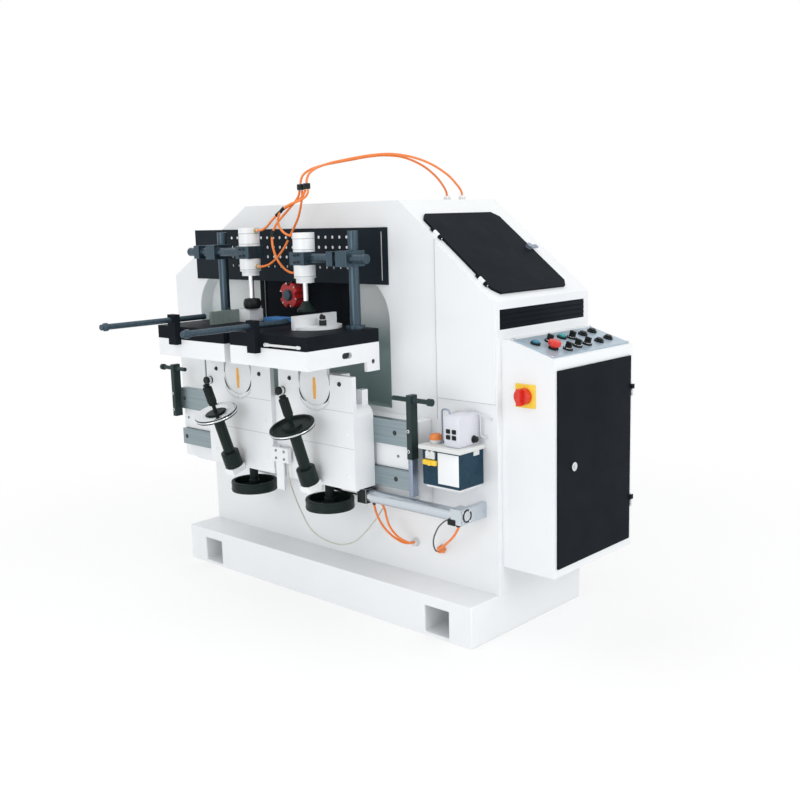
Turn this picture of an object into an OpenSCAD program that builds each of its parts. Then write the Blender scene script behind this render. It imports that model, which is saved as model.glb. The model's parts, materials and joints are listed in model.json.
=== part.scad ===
// Tenoning machine with two tables. Millimetres, +Z up, +X right along the front, +Y to the back.
// Origin: middle of the plinth underside.

/* [Plinth] */
// Plinth width
plinth_w = 1464; // [1200:2:1800]
// Plinth depth
plinth_d = 610; // [500:2:800]
// Plinth height
plinth_h = 140; // [100:1:200]
// Fork tunnel centre from the plinth's end
fork_in = 147; // [90:1:250]
// Fork tunnel width
fork_w = 100; // [80:1:140]
// Fork tunnel height
fork_h = 90; // [60:1:100]
// Plinth plate, round the hollow between the fork tunnels
plinth_wall = 12; // [8:1:20]
// Metal under a fork tunnel
fork_floor = 12; // [8:1:25]

/* [Pedestal] */
// Left face of the pedestal from the middle
pedestal_left = 720; // [650:1:760]
// Right face of the pedestal from the middle
pedestal_right = 738; // [650:1:760]
// Front face of the machine body from the middle
body_front = 170; // [140:1:220]
// Height of the pedestal top
pedestal_top = 690; // [650:1:720]
// Pedestal wall
pedestal_wall = 8; // [5:1:12]
// Hose fitting places along the front
fitting_x = [385, 503];
// Hose fitting height
fitting_z = 252; // [220:1:300]
// Hose fitting radius
fitting_r = 12; // [8:1:16]
// Hose fitting length
fitting_l = 18; // [10:1:30]

/* [Casing] */
// Left face of the casing from the middle
casing_left = 920; // [850:1:960]
// Back face of the casing
casing_back = 338; // [310:1:380]
// Casing above the arch
casing_head = 244; // [200:1:320]
// Left shoulder run
left_run = 476; // [400:1:520]
// Left shoulder drop
left_drop = 266; // [220:1:300]
// Right shoulder run
right_run = 398; // [360:1:440]
// Right shoulder drop
right_drop = 316; // [280:1:350]
// Lowest edge of the casing on the left
overhang_bottom = 380; // [340:1:450]
// Casing sheet
casing_wall = 5; // [3:1:8]
// Flange on the pedestal
casing_ledge = 40; // [25:1:60]
// Arch opening, left edge from the middle
arch_left = 760; // [720:1:790]
// Arch opening, right edge from the middle
arch_right = 287; // [250:1:310]
// Arch sill above the pedestal
arch_sill = 16; // [16:1:30]
// Arch above the recess window
arch_lintel = 10; // [6:1:40]
// Arch corner radius
arch_r = 156; // [100:1:180]
// Vent slot, front edge
vent_front = 155; // [120:1:165]
// Vent slot, back edge
vent_back = 312; // [250:1:330]
// Vent slot height
vent_h = 62; // [40:1:80]
// Vent slot below the right shoulder
vent_drop = 26; // [18:1:40]
// Service panel, left edge
service_left = 492; // [450:1:540]
// Service panel, lower edge
service_low = 764; // [740:1:820]
// Service panel sheet
service_t = 3; // [2:0.5:5]
// Margin of the service panel under the shoulder
service_margin = 6; // [3:1:12]
// Overhead hose fittings on the casing top, across
top_fit_x = [150, 222];
// Overhead hose fittings, place to the back
top_fit_y = 300; // [250:1:320]
// Overhead hose fitting height
top_fit_h = 16; // [8:1:30]

/* [Hood lid] */
// Lid start down the shoulder
lid_start = 83; // [60:1:100]
// Lid length down the shoulder
lid_len = 396; // [350:1:410]
// Lid front edge
lid_front = 145; // [130:1:150]
// Lid width
lid_w = 397; // [350:1:420]
// Lid thickness
lid_t = 8; // [5:1:12]
// Lid corner cut
lid_corner = 25; // [10:1:40]
// Casing left round the lid opening
lid_overlap = 25; // [15:1:40]
// Hinge places in from the lid's upper and lower ends
lid_hinge_in = [100, 64];
// Hinge knuckle radius
knuckle_r = 6; // [5:0.5:8]
// Hinge pin radius
pin_r = 3; // [2:0.5:4]
// Fixed knuckle length
knuckle_l = 24; // [16:1:40]
// Moving knuckle length
moving_l = 15; // [10:1:25]
// Latch boss radius
latch_r = 12; // [8:1:16]
// Latch bar length beyond its boss
latch_l = 48; // [30:1:60]
// Latch bar width
latch_w = 14; // [8:1:20]
// Latch place from the lid's back edge
latch_in = 18; // [14:1:40]

/* [Cutter] */
// Recess depth behind the front sheet
recess_d = 53; // [40:1:60]
// Recess sheet
recess_wall = 10; // [5:1:12]
// Recess back sheet
recess_back = 5; // [3:1:6]
// Window half width in the recess back
window_half = 214; // [180:1:240]
// Window sill above the arch sill
window_sill = 194; // [150:1:240]
// Window above the spindle
window_over = 71; // [60:1:90]
// Spindle place across
spindle_x = -212; // [-300:1:-180]
// Spindle above the window sill
spindle_up = 175; // [150:1:190]
// Cutter radius
cutter_r = 47; // [40:1:48]
// Cutter hub radius
cutter_hub_r = 30; // [20:1:36]
// Cutter thickness
cutter_t = 44; // [30:1:50]
// Front face of the cutter
cutter_front = 180; // [170:1:190]
// Number of cutter gullets
cutter_gullets = 4; // [2:1:6]
// Gullet radius
gullet_r = 14; // [8:1:18]
// Cutter nut radius
cutter_nut_r = 18; // [14:1:24]
// Cutter nut length
cutter_nut_l = 10; // [6:1:16]
// Spindle radius
spindle_r = 14; // [10:1:18]
// Motor radius
motor_r = 95; // [70:1:110]
// Motor front
motor_front = 90; // [85:1:95]
// Motor length
motor_l = 300; // [200:1:380]
// Depth of the spindle in the motor
spindle_deep = 45; // [30:1:80]
// Motor nose radius
nose_r = 45; // [30:1:60]
// Dust panel half width
dust_half = 284; // [250:1:300]
// Dust panel below the window
dust_under = 20; // [10:1:40]
// Dust panel above the window
dust_over = 30; // [10:1:40]
// Dust panel sheet
dust_t = 4; // [3:0.5:6]
// Gap of the dust panel behind the recess
dust_gap = 2; // [1:0.5:4]
// Hole for the spindle in the dust panel
dust_hole_r = 30; // [20:1:40]
// Guide rod radius
guide_r = 15; // [10:1:20]
// Guide rod distance above and below the spindle
guide_dz = 130; // [115:1:150]
// Guide rod place to the back
guide_y = 120; // [100:1:150]
// Guide rod half length
guide_half = 324; // [280:1:400]
// Guide bracket thickness
guide_bracket = 20; // [12:1:30]
// Guide bracket margin round the rods
guide_margin = 40; // [25:1:60]
// Sleeve radius on the guide rods
sleeve_r = 28; // [22:1:36]
// Sleeve half length
sleeve_half = 80; // [50:1:120]

/* [Guard board] */
// Guard board, left edge from the middle
guard_left = 765; // [700:1:790]
// Guard board, right edge from the middle
guard_right = 288; // [260:1:320]
// Guard board clear of the cutter
guard_clear = 2; // [1:0.5:10]
// Guard board height
guard_h = 190; // [160:1:220]
// Guard board sheet
guard_t = 4; // [3:0.5:8]
// Hole pitch
hole_pitch = 35; // [28:1:45]
// Hole radius
hole_r = 6; // [3:0.5:7]
// Hole columns
hole_cols = 20; // [4:1:24]
// Hole rows
hole_rows = 4; // [1:1:4]
// First hole from the left edge
hole_in = 196; // [40:1:220]
// First row under the upper edge
hole_down = 31; // [20:1:50]
// Light slit from the right edge
slit_in = 32; // [20:1:60]
// Light slit width
slit_w = 8; // [4:1:14]
// Margin above and below the slit
slit_margin = 14; // [8:1:30]

/* [Slide] */
// Slide base left end from the middle
base_left = 805; // [780:1:840]
// Slide base right end
base_right = 462; // [440:1:480]
// Slide base front face
base_front = 235; // [220:1:245]
// Slide base lower edge
base_low = 398; // [390:1:420]
// Slide base upper edge
base_high = 690; // [680:1:690]
// Lower corner radius on the left
base_corner = 70; // [30:1:90]
// Rail front face
rail_front = 262; // [255:1:270]
// Upper rail height
rail_up_h = 85; // [60:1:100]
// Lower rail, lower edge
rail_low_z = 459; // [450:1:470]
// Lower rail height
rail_low_h = 64; // [50:1:80]
// Web between the rails, out from the base
web_out = 12; // [6:1:18]
// End stop post width
post_w = 20; // [14:1:28]
// End stop post front
post_front = 290; // [280:1:300]
// End stop post back
post_back = 258; // [240:1:262]
// End stop post lower edge
post_low = 575; // [540:1:600]
// End stop post upper edge
post_high = 785; // [780:1:800]
// Stop screw radius
screw_r = 8; // [6:0.5:10]
// Stop screw height
screw_z = 768; // [760:1:775]
// Stop screw place
screw_y = -274; // [-280:1:-268]
// Stop screw reach inside its post
screw_in = [57, 70];
// Stop screw reach outside its post
screw_out = [80, 78];
// Stop screw knob radius
screw_knob_r = 12; // [8:1:14]
// Stop screw knob length
screw_knob_l = 16; // [8:1:24]
// Post screw heights
post_screw_z = [602, 668];
// Post screw radius
post_screw_r = 5; // [3:0.5:7]
// Post screw head
post_screw_h = 4; // [2:0.5:6]

/* [Saddle] */
// Middle between the two tables
station_mid = -104; // [-140:1:-60]
// Gap between the two tables
table_gap = 32; // [30:1:60]
// Knee narrower than its table, each side
knee_inset = 6; // [2:1:30]
// Saddle front face
saddle_front = 338; // [330:1:345]
// Saddle lower edge
saddle_low = 455; // [450:1:462]
// Saddle upper edge
saddle_high = 735; // [720:1:745]
// Saddle top corner radius
saddle_corner = 40; // [20:1:60]
// Lip over the upper rail
lip_h = 30; // [20:1:40]
// Groove half width for the knee tongue
groove_half = 60; // [50:1:70]
// Groove depth
groove_d = 18; // [12:1:22]
// Nut slot half width
slot_half = 25; // [20:1:30]
// Nut slot depth
slot_d = 55; // [50:1:58]
// Saddle floor under the nut slot
saddle_floor = 15; // [10:1:25]
// Notch half width for the tilt housing
notch_half = 114; // [100:1:130]
// Notch lower edge
notch_low = 658; // [640:1:680]
// Notch depth
notch_d = 52; // [46:1:56]
// Stop dog place in from the saddle end
dog_in = 22; // [15:1:30]
// Stop dog width
dog_w = 26; // [18:1:32]
// Stop dog height
dog_h = 48; // [40:1:52]
// Stop dog front
dog_front = 290; // [284:1:300]
// Sensor arm half width
sensor_arm_half = 14; // [8:1:18]
// Sensor block left edge
sensor_left = -112; // [-118:1:-108]
// Sensor block width
sensor_w = 92; // [60:1:110]
// Sensor block lower edge
sensor_low = 508; // [490:1:530]
// Sensor block height
sensor_h = 52; // [40:1:60]
// Sensor block back face
sensor_back = 366; // [360:1:372]
// Sensor block thickness
sensor_t = 16; // [10:1:24]
// Sensor strip lower edge
strip_low = 405; // [400:1:440]
// Sensor strip width
strip_w = 40; // [20:1:50]
// Sensor strip thickness
strip_t = 6; // [3:1:10]

/* [Knee] */
// Knee plate front face
knee_front = 356; // [352:1:362]
// Knee lower edge
knee_low = 452; // [440:1:470]
// Knee upper edge
knee_high = 836; // [830:1:845]
// Tilt pivot height
pivot_z = 800; // [790:1:810]
// Tilt pivot radius
pivot_r = 20; // [15:1:25]
// Slot radius in the knee for the tilt segment
knee_slot_r = 78; // [70:1:84]
// Tilt housing half width
housing_half = 110; // [96:1:112]
// Tilt housing back face
housing_back = 292; // [288:1:300]
// Tilt housing lower edge
housing_low = 702; // [700:1:712]
// Lift nut lower edge
nut_low = 512; // [511:1:520]
// Lift nut height
nut_h = 40; // [25:1:60]
// Knob radius on the knee
knee_knob_r = 13; // [8:1:18]
// Knob length
knee_knob_l = 22; // [12:1:30]
// Knob place from the knee edge
knee_knob_in = 22; // [18:1:40]
// Knob height
knee_knob_z = 762; // [740:1:800]
// Crank bracket half width
bracket_half = 24; // [18:1:30]
// Crank bracket half depth
bracket_deep = 30; // [24:1:36]
// Crank bracket thickness
bracket_t = 24; // [18:1:26]

/* [Lift wheel] */
// Lift screw place to the back
lift_y = -303; // [-306:1:-300]
// Lift screw radius
lift_screw_r = 10; // [8:0.5:12]
// Lift screw top
lift_screw_top = 650; // [620:1:655]
// Wheel radius
wheel_r = 85; // [70:1:90]
// Wheel lower edge
wheel_low = 354; // [340:1:360]
// Wheel height
wheel_h = 38; // [30:1:38]
// Wheel rim
wheel_rim = 11; // [6:1:16]
// Wheel web
wheel_web = 8; // [5:1:12]
// Wheel hub radius
wheel_hub_r = 20; // [16:1:26]
// Collar radius under the saddle
collar_r = 16; // [14:1:16]

/* [Tilt wheel] */
// Lean of the tilt wheel shaft towards the user
crank_lean = 18.5; // [10:0.5:25]
// Foot of the shaft, place
crank_y = -392; // [-396:1:-390]
// Foot of the shaft, height
crank_z = 462; // [458:1:470]
// Hub radius
crank_hub_r = 33; // [26:1:36]
// Hub length
crank_hub_l = 60; // [40:1:80]
// Shaft radius
crank_shaft_r = 14; // [10:1:18]
// Disc place up the shaft
disc_up = 208; // [180:1:230]
// Disc radius
disc_r = 78; // [60:1:84]
// Disc thickness
disc_t = 16; // [10:1:22]
// Disc rim
disc_rim = 10; // [6:1:16]
// Disc dish depth
dish_d = 7; // [3:1:10]
// Neck radius over the disc
neck_r = 7; // [5:1:10]
// Grip start up the shaft
grip_up = 252; // [235:1:270]
// Grip length
grip_l = 78; // [60:1:90]
// Grip radius
grip_r = 15; // [11:1:18]

/* [Table] */
// Half width of a table
table_half = 190; // [170:1:194]
// Table front edge
table_front = 554; // [500:1:580]
// Table back edge
table_back = 230; // [224:1:240]
// Table top height
table_top = 986; // [970:1:1000]
// Table plate thickness
table_t = 45; // [30:1:50]
// Apron height under the plate
apron_h = 62; // [50:1:64]
// Apron wall
apron_wall = 14; // [8:1:20]
// Neck half width
neck_half = 62; // [50:1:66]
// Tilt segment radius
segment_r = 74; // [66:1:77]
// Tilt segment play in the knee
segment_play = 1.5; // [0.5:0.5:3]
// Cross rib half thickness
rib_half = 16; // [10:1:20]
// Side lug width
lug_w = 58; // [40:1:70]
// Side lug drop
lug_drop = 33; // [15:1:36]
// Side lug hole radius
lug_hole_r = 8; // [5:1:12]
// Side slot place
side_slot_y = -379; // [-420:1:-360]
// Side slot half length
side_slot_half = 12; // [6:1:20]
// Side slot radius
side_slot_r = 10; // [6:1:14]
// Rod holder place from the station centre
holder_dx = [-73, -50];
// Rod holder half width
holder_half = 21; // [16:1:26]
// Rod holder depth
holder_d = 24; // [16:1:32]
// Rod holder height above the table
holder_up = 44; // [38:1:60]
// Rod holder reach below the table top
holder_down = 62; // [46:1:66]
// Stop rod radius
rod_r = 10; // [8:0.5:12]
// Stop rod height above the table
rod_up = 25; // [22:1:30]
// Stop rod length
rod_l = 425; // [300:1:500]
// Stop rod front ends
rod_front = [856, 842];
// Stop rod ring radius
rod_ring_r = 14; // [11:0.5:18]
// Stop rod ring length
rod_ring_l = 14; // [8:1:20]
// Stop rod ring place from the front end
rod_ring_in = 12; // [4:1:60]

/* [Clamps] */
// Clamp post place out from the station centre
post_out = 139; // [120:1:150]
// Clamp post place to the back
post_y = -285; // [-300:1:-275]
// Clamp post radius
clamp_post_r = 18; // [14:1:22]
// Clamp post top
clamp_post_top = 1306; // [1280:1:1320]
// Clamp post foot radius
post_foot_r = 32; // [24:1:36]
// Clamp post foot height
post_foot_h = 12; // [8:1:20]
// Arm place to the back
arm_y = -320; // [-325:1:-318]
// Arm radius
arm_r = 16; // [12:1:18]
// Arm heights
arm_z = [1236, 1217];
// Arm outer end from the station centre
arm_out = [290, 234];
// Cross clamp half width
cross_half = 26; // [20:1:32]
// Cross clamp play round arm and post
cross_wall = 8; // [5:1:12]
// Arm block place from the station centre, outwards
arm_block_out = [222, 84];
// Arm block half width
arm_block_half = 15; // [10:1:20]
// Arm block half height
arm_block_up = 24; // [18:1:30]
// Clamp cylinder place in from the station centre
clamp_in = 62; // [55:1:70]
// Clamp cylinder radius
clamp_r = 37; // [30:1:42]
// Clamp cylinder top above the arm
clamp_up = 86; // [70:1:100]
// Clamp cylinder low end below the arm
clamp_down = 66; // [50:1:80]
// Clamp collar radius
clamp_collar_r = 31; // [24:1:36]
// Clamp collar length
clamp_collar_l = 16; // [10:1:24]
// Clamp block half width
clamp_block = 36; // [30:1:42]
// Clamp block half height
clamp_block_up = 22; // [16:1:28]
// Ram radius
ram_r = 9; // [7:0.5:12]
// Ram chamber radius
ram_chamber_r = 13; // [11:1:20]
// Roof over the ram chamber
ram_roof = 8; // [5:1:12]
// Ram top above the arm
ram_top = 8; // [-10:1:15]
// Foot radius
foot_r = 32; // [24:1:34]
// Foot lower face height above the table
foot_up = 50; // [49:1:60]
// Foot height
foot_h = 36; // [24:1:44]
// Port radius
port_r = 7; // [5:0.5:9]
// Port length
port_l = 12; // [8:1:18]
// Lower port below the arm
port_down = 50; // [40:1:56]
// Upper port above the arm
port_up = 76; // [60:1:80]

/* [Fences] */
// Fence wall thickness
fence_t = 14; // [8:1:20]
// Fence wall height
fence_h = 46; // [30:1:48]
// Fence wall front ends
fence_front = [455, 430];
// Fence wall back ends
fence_back = [270, 236];
// Fence pivot place
fence_y = -332; // [-350:1:-310]
// Fence pivot from the station centre
fence_dx = [-8, -10];
// Fence base radius
fence_r = 92; // [70:1:95]
// Fence base thickness
fence_base = 10; // [6:1:12]
// Fence pivot pin radius
fence_pin_r = 8; // [5:1:12]
// Fence pivot pin depth
fence_pin_l = 30; // [15:1:40]
// Fence knob radius
fence_knob_r = 11; // [8:1:14]
// Fence knob height
fence_knob_h = 30; // [18:1:40]
// Fence knob place from the wall
fence_knob_in = 40; // [30:1:42]
// Heel block width on the left fence
heel_w = 60; // [40:1:66]
// Heel block length on the left fence
heel_l = 62; // [40:1:66]

/* [Feed cylinder] */
// Feed cylinder place
feed_y = -275; // [-278:1:-272]
// Feed cylinder height
feed_z = 420; // [416:1:424]
// Feed cylinder left end
feed_left = 235; // [225:1:245]
// Feed cylinder right end
feed_right = 690; // [660:1:700]
// Feed head half size
feed_head = 25; // [20:1:26]
// Feed head length
feed_head_l = 42; // [30:1:50]
// Feed tube radius
feed_tube_r = 22; // [18:1:24]
// Feed bore radius
feed_bore_r = 18; // [14:0.5:19]
// Feed rod radius
feed_rod_r = 9; // [7:0.5:11]
// Feed rod right end
feed_rod_right = 540; // [538:1:545]
// Feed piston length
piston_l = 20; // [12:1:30]
// Feed foot thickness
feed_foot = 20; // [12:1:26]
// Rod lug left face
rod_lug_left = 40; // [30:1:60]
// Rod lug width
rod_lug_w = 24; // [18:1:36]
// Rod lug half depth
rod_lug_half = 14; // [11:1:18]

/* [Lubricator] */
// Tank left side
tank_left = 527; // [510:1:550]
// Tank width
tank_w = 154; // [120:1:180]
// Tank front
tank_front = 290; // [270:1:300]
// Tank floor height
tank_low = 504; // [490:1:520]
// Tank height
tank_h = 116; // [90:1:140]
// Flange margin
flange_margin = 9; // [4:1:14]
// Flange height
flange_h = 14; // [8:1:20]
// Shelf sheet
shelf_t = 8; // [4:1:12]
// Pump left side
pump_left = 609; // [590:1:620]
// Pump width
pump_w = 63; // [40:1:70]
// Pump front
pump_front = 280; // [260:1:290]
// Pump depth
pump_d = 104; // [60:1:106]
// Pump height
pump_h = 101; // [70:1:120]
// Filler place
filler = [553, -252];
// Filler neck radius
filler_neck_r = 17; // [12:1:20]
// Filler neck height
filler_neck_h = 12; // [6:1:20]
// Filler cap radius
filler_cap_r = 20; // [14:1:24]
// Filler cap height
filler_cap_h = 20; // [12:1:28]
// Tap place across
tap_x = 568; // [545:1:600]
// Tap height
tap_z = 580; // [540:1:600]
// Tap radius
tap_r = 9; // [6:1:12]
// Tap length
tap_l = 18; // [10:1:26]

/* [Cabinet] */
// Cabinet right face
cabinet_right = 935; // [900:1:960]
// Cabinet front
cabinet_front = 150; // [130:1:165]
// Cabinet back
cabinet_back = 300; // [260:1:320]
// Cabinet lower edge
cabinet_low = 235; // [200:1:280]
// Cabinet height at its right edge
cabinet_high = 917; // [880:1:940]
// Flat part of the cabinet top
cabinet_flat = 32; // [20:1:60]
// Rise of the panel slope
panel_rise = 49; // [30:1:80]
// Cabinet sheet
cabinet_wall = 4; // [2:0.5:6]
// Door lower edge
door_low = 263; // [250:1:290]
// Door upper edge
door_high = 882; // [850:1:895]
// Door front edge
door_front = 136; // [120:1:145]
// Door back edge
door_back = 281; // [250:1:284]
// Door sheet
door_t = 6; // [4:1:10]
// Cabinet left round the door opening
door_overlap = 20; // [12:1:30]
// Door hinge heights
door_hinge_z = [398, 772];
// Door hinge axis out from the cabinet
door_axis_out = 8; // [7:0.5:10]
// Door hinge axis behind the door
door_axis_back = 8; // [7:0.5:10]
// Lock place
lock_y = -60; // [-100:1:-30]
// Lock height
lock_z = 577; // [500:1:650]
// Lock radius
lock_r = 14; // [9:1:18]
// Lock length
lock_l = 8; // [5:1:14]
// Lock shaft radius
lock_shaft_r = 6; // [4:1:8]
// Lock key bar half width
lock_bar = 3; // [2:0.5:5]
// Switch place across
switch_x = 832; // [800:1:870]
// Switch height
switch_z = 799; // [760:1:830]
// Switch plate half size
switch_plate = 36; // [28:1:44]
// Switch plate thickness
switch_plate_t = 6; // [3:1:10]
// Switch knob radius
switch_r = 26; // [20:1:32]
// Switch knob length
switch_l = 22; // [12:1:40]
// Switch bar half width
switch_bar = 7; // [4:1:10]
// Switch bar length
switch_bar_l = 14; // [8:1:20]
// Switch shaft radius
switch_shaft_r = 6; // [4:1:8]

/* [Operators] */
// Panel plate thickness
panel_t = 4; // [2:0.5:6]
// Panel margin
panel_margin = 10; // [6:1:20]
// Window margin under the panel
panel_window = 18; // [14:1:26]
// Push button places on the panel, down the slope and across
push_at = [[62, -98], [52, 58], [56, 172], [48, 238], [120, 172], [112, 238]];
// Selector places on the panel
selector_at = [[62, -24], [66, 94], [132, -22], [124, 42], [123, 98]];
// Mushroom place on the panel
mushroom_at = [112, -72];
// Collar radius
op_collar_r = 15; // [13:0.5:18]
// Collar height
op_collar_h = 6; // [4:0.5:10]
// Plunger radius
op_r = 11; // [8:0.5:12]
// Plunger length below the panel
op_deep = 18; // [10:1:30]
// Plunger height above its collar
op_up = 6; // [5:0.5:10]
// Selector bar half width
sel_bar = 4; // [3:0.5:6]
// Selector bar height
sel_bar_h = 12; // [6:1:16]
// Mushroom radius
mush_r = 20; // [16:1:24]
// Mushroom height
mush_h = 14; // [8:1:20]

/* [Hoses] */
// Clamp and overhead hose radius
hose_r = 4; // [3:0.5:6]
// Sensor cable radius
cable_r = 2.5; // [2:0.5:4]
// Sides of a hose
hose_sides = 8; // [6:1:12]

/* [Fits] */
// Gap between pieces that move past each other
gap = 0.3; // [0.2:0.05:0.5]
// Radial play of a running fit
fit = 0.05; // [0.02:0.01:0.1]
// Overrun of a cut past a face
over = 1; // [0.5:0.5:5]

/* [Hidden] */
$fn = 48;
white = [0.86, 0.88, 0.89];
black = [0.09, 0.10, 0.11];
steel = [0.55, 0.58, 0.58];
side = [-1, 1];
arch_bottom = pedestal_top + arch_sill;
window_low = arch_bottom + window_sill;
spindle_z = window_low + spindle_up;
window_high = spindle_z + window_over;
arch_top = window_high + arch_lintel;
casing_top = arch_top + casing_head;
vent_high = casing_top - right_drop - vent_drop;
vent_low = vent_high - vent_h;
dust_low = window_low - dust_under;
dust_high = window_high + dust_over;
guard_low = spindle_z + cutter_r + guard_clear;
guard_high = guard_low + guard_h;
knee_half = table_half - knee_inset;
station_x = [station_mid - table_half - table_gap / 2, station_mid + table_half + table_gap / 2];
right_a = atan2(right_drop, right_run);
left_a = atan2(left_drop, left_run);
panel_run = cabinet_right - pedestal_right - cabinet_flat;
panel_a = atan2(panel_rise, panel_run);
panel_len = panel_run / cos(panel_a);
panel_z = cabinet_high + panel_rise;
inner_front = body_front - casing_wall;
recess_y = -inner_front + recess_d;
dust_y = recess_y + recess_back + dust_gap;
saddle_left = station_x[0] - knee_half;
saddle_right = station_x[1] + knee_half;
tube_hole = lift_screw_r + fit;
plate_low = table_top - table_t;
apron_low = plate_low - apron_h;
lid_hinge_s = [lid_start + lid_hinge_in[0], lid_start + lid_len - lid_hinge_in[1]];
tank_top = tank_low + tank_h;
well_half = plinth_w / 2 - fork_in - fork_w / 2 - plinth_wall;
flange_top = tank_top + flange_h;
lid_axis_y = -lid_front - knuckle_r - over;
lid_axis_z = knuckle_r + gap;
door_axis_x = cabinet_right + door_axis_out;
door_axis_y = door_back + door_axis_back;
rod_height = table_top + rod_up;

// Routes of the hoses and the two tees of the clamp hoses
over_a = [[3, -290, 1465], [4, -287, 1480], [8, -277, 1497], [18, -252, 1513], [32, -206, 1527],
    [46, -156, 1536], [60, -100, 1545], [74, -38, 1555], [90, 32, 1561], [110, 110, 1555],
    [131, 184, 1528], [145, 240, 1491], [150, 278, 1455], [150, 296, 1432], [150, 300, 1417]];
over_b = [[33, -290, 1467], [34, -287, 1482], [37, -277, 1499], [45, -252, 1516], [56, -206, 1531],
    [67, -156, 1541], [79, -100, 1551], [94, -30, 1561], [113, 45, 1565], [140, 120, 1555],
    [168, 190, 1531], [196, 248, 1493], [215, 282, 1454], [221, 297, 1432], [222, 300, 1417]];
clamp_ll = [[-198, -320, 1186], [-176, -320, 1187], [-153, -310, 1195], [-136, -290, 1216],
    [-116, -272, 1250], [-92, -266, 1287], [-68, -263, 1322], [-38, -267, 1360], [-8, -280, 1402],
    [6, -288, 1426], [9, -290, 1443]];
clamp_rl = [[-10, -320, 1167], [-32, -323, 1169], [-53, -333, 1184], [-70, -346, 1215],
    [-84, -351, 1258], [-91, -344, 1300], [-85, -326, 1336], [-66, -306, 1366], [-36, -296, 1396],
    [-11, -291, 1421], [-3, -290, 1443]];
clamp_lu = [[-198, -320, 1312], [-172, -321, 1314], [-140, -326, 1325], [-108, -331, 1344],
    [-70, -333, 1367], [-30, -327, 1389], [2, -313, 1405], [20, -299, 1423], [27, -290, 1445]];
clamp_ru = [[-10, -320, 1293], [-30, -322, 1294], [-49, -329, 1304], [-60, -339, 1326],
    [-55, -346, 1354], [-34, -345, 1380], [-4, -333, 1398], [18, -314, 1408], [33, -299, 1420],
    [39, -292, 1433], [40, -290, 1445]];
tee_a = [[-10, -297, 1444], [16, -283, 1464]];
tee_b = [[20, -297, 1446], [46, -283, 1466]];
low_a = [[270, -254, 394], [272, -254, 372], [283, -253, 344], [306, -250, 311], [338, -240, 281],
    [364, -222, 261], [376, -204, 254], [378, -189, 253]];
low_b = [[278, -254, 399], [294, -254, 397], [309, -253, 387], [318, -252, 370], [323, -251, 348],
    [336, -249, 315], [362, -240, 284], [384, -219, 264], [391, -203, 258], [392, -189, 257]];
low_c = [[660, -275, 394], [657, -274, 376], [640, -271, 350], [608, -263, 320], [570, -250, 292],
    [538, -234, 273], [518, -214, 261], [510, -201, 257], [508, -189, 256]];
low_d = [[647, -254, 400], [626, -254, 398], [594, -253, 387], [562, -249, 364], [540, -243, 339],
    [520, -235, 307], [508, -223, 279], [500, -204, 253], [498, -189, 247]];
cable = [[-30, -374, 507], [-30, -374, 480], [-28, -370, 440], [-22, -358, 390], [-14, -338, 330],
    [0, -310, 262], [40, -290, 226], [108, -270, 212], [170, -254, 232], [222, -242, 282],
    [268, -232, 340], [289, -226, 376], [290, -225, 397]];

function unit(v) = v / norm(v);
function spline(a, b, c, d, t) = b + t * (c - a) / 2 + t * t * (a - 2.5 * b + 2 * c - d / 2)
    + t * t * t * (1.5 * (b - c) + (d - a) / 2);
function at(p, i) = p[min(max(i, 0), len(p) - 1)];
function smooth(p, k) = concat([for (i = [0 : len(p) - 2]) for (j = [0 : k - 1])
    spline(at(p, i - 1), p[i], p[i + 1], at(p, i + 2), j / k)], [p[len(p) - 1]]);
function along(p, i) = unit(at(p, i + 1) - at(p, i - 1));
function ring(p, i, r, n, ref) = let (d = along(p, i), u = unit(cross(d, ref)), v = cross(d, u))
    [for (k = [0 : n - 1]) p[i] + r * (u * cos(360 * k / n) + v * sin(360 * k / n))];
function side_faces(m, n) = [for (i = [0 : m - 2]) for (k = [0 : n - 1]) for (h = [0, 1])
    let (a = i * n + k, b = i * n + (k + 1) % n) h == 0 ? [a, b + n, b] : [a, a + n, b + n]];
function end_faces(m, n) = [for (k = [1 : n - 2]) for (h = [0, 1])
    h == 0 ? [0, k, k + 1] : [(m - 1) * n, (m - 1) * n + k + 1, (m - 1) * n + k]];

module hose(route, r, k, ref) {
    p = smooth(route, k);
    m = len(p);
    rings = [for (i = [0 : m - 1]) each ring(p, i, r, hose_sides, ref)];
    polyhedron(rings, concat(side_faces(m, hose_sides), end_faces(m, hose_sides)));
}

module slab(lo, hi) {
    translate(lo) cube(hi - lo);
}

module bar_x(x0, x1, y, z, r) {
    translate([x0, y, z]) rotate([0, 90, 0]) cylinder(h = x1 - x0, r = r);
}

module bar_y(y0, y1, x, z, r) {
    translate([x, y1, z]) rotate([90, 0, 0]) cylinder(h = y1 - y0, r = r);
}

module bar_z(z0, z1, x, y, r) {
    translate([x, y, z0]) cylinder(h = z1 - z0, r = r);
}

// A drawing in X and Z, pulled from y0 back to y1
module profile_y(y0, y1) {
    translate([0, y1, 0]) rotate([90, 0, 0]) linear_extrude(height = y1 - y0) children();
}

// Frame on the right shoulder: x down the slope, z out of it
module on_shoulder() {
    translate([pedestal_right - right_run, 0, casing_top]) rotate([0, right_a, 0]) children();
}

// Frame on the control panel slope
module on_panel() {
    translate([pedestal_right + cabinet_flat, 0, panel_z]) rotate([0, panel_a, 0]) children();
}

// Frame on the tilt wheel shaft of a station
module on_crank(i) {
    translate([station_x[i], crank_y, crank_z]) rotate([crank_lean, 0, 0]) children();
}

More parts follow.
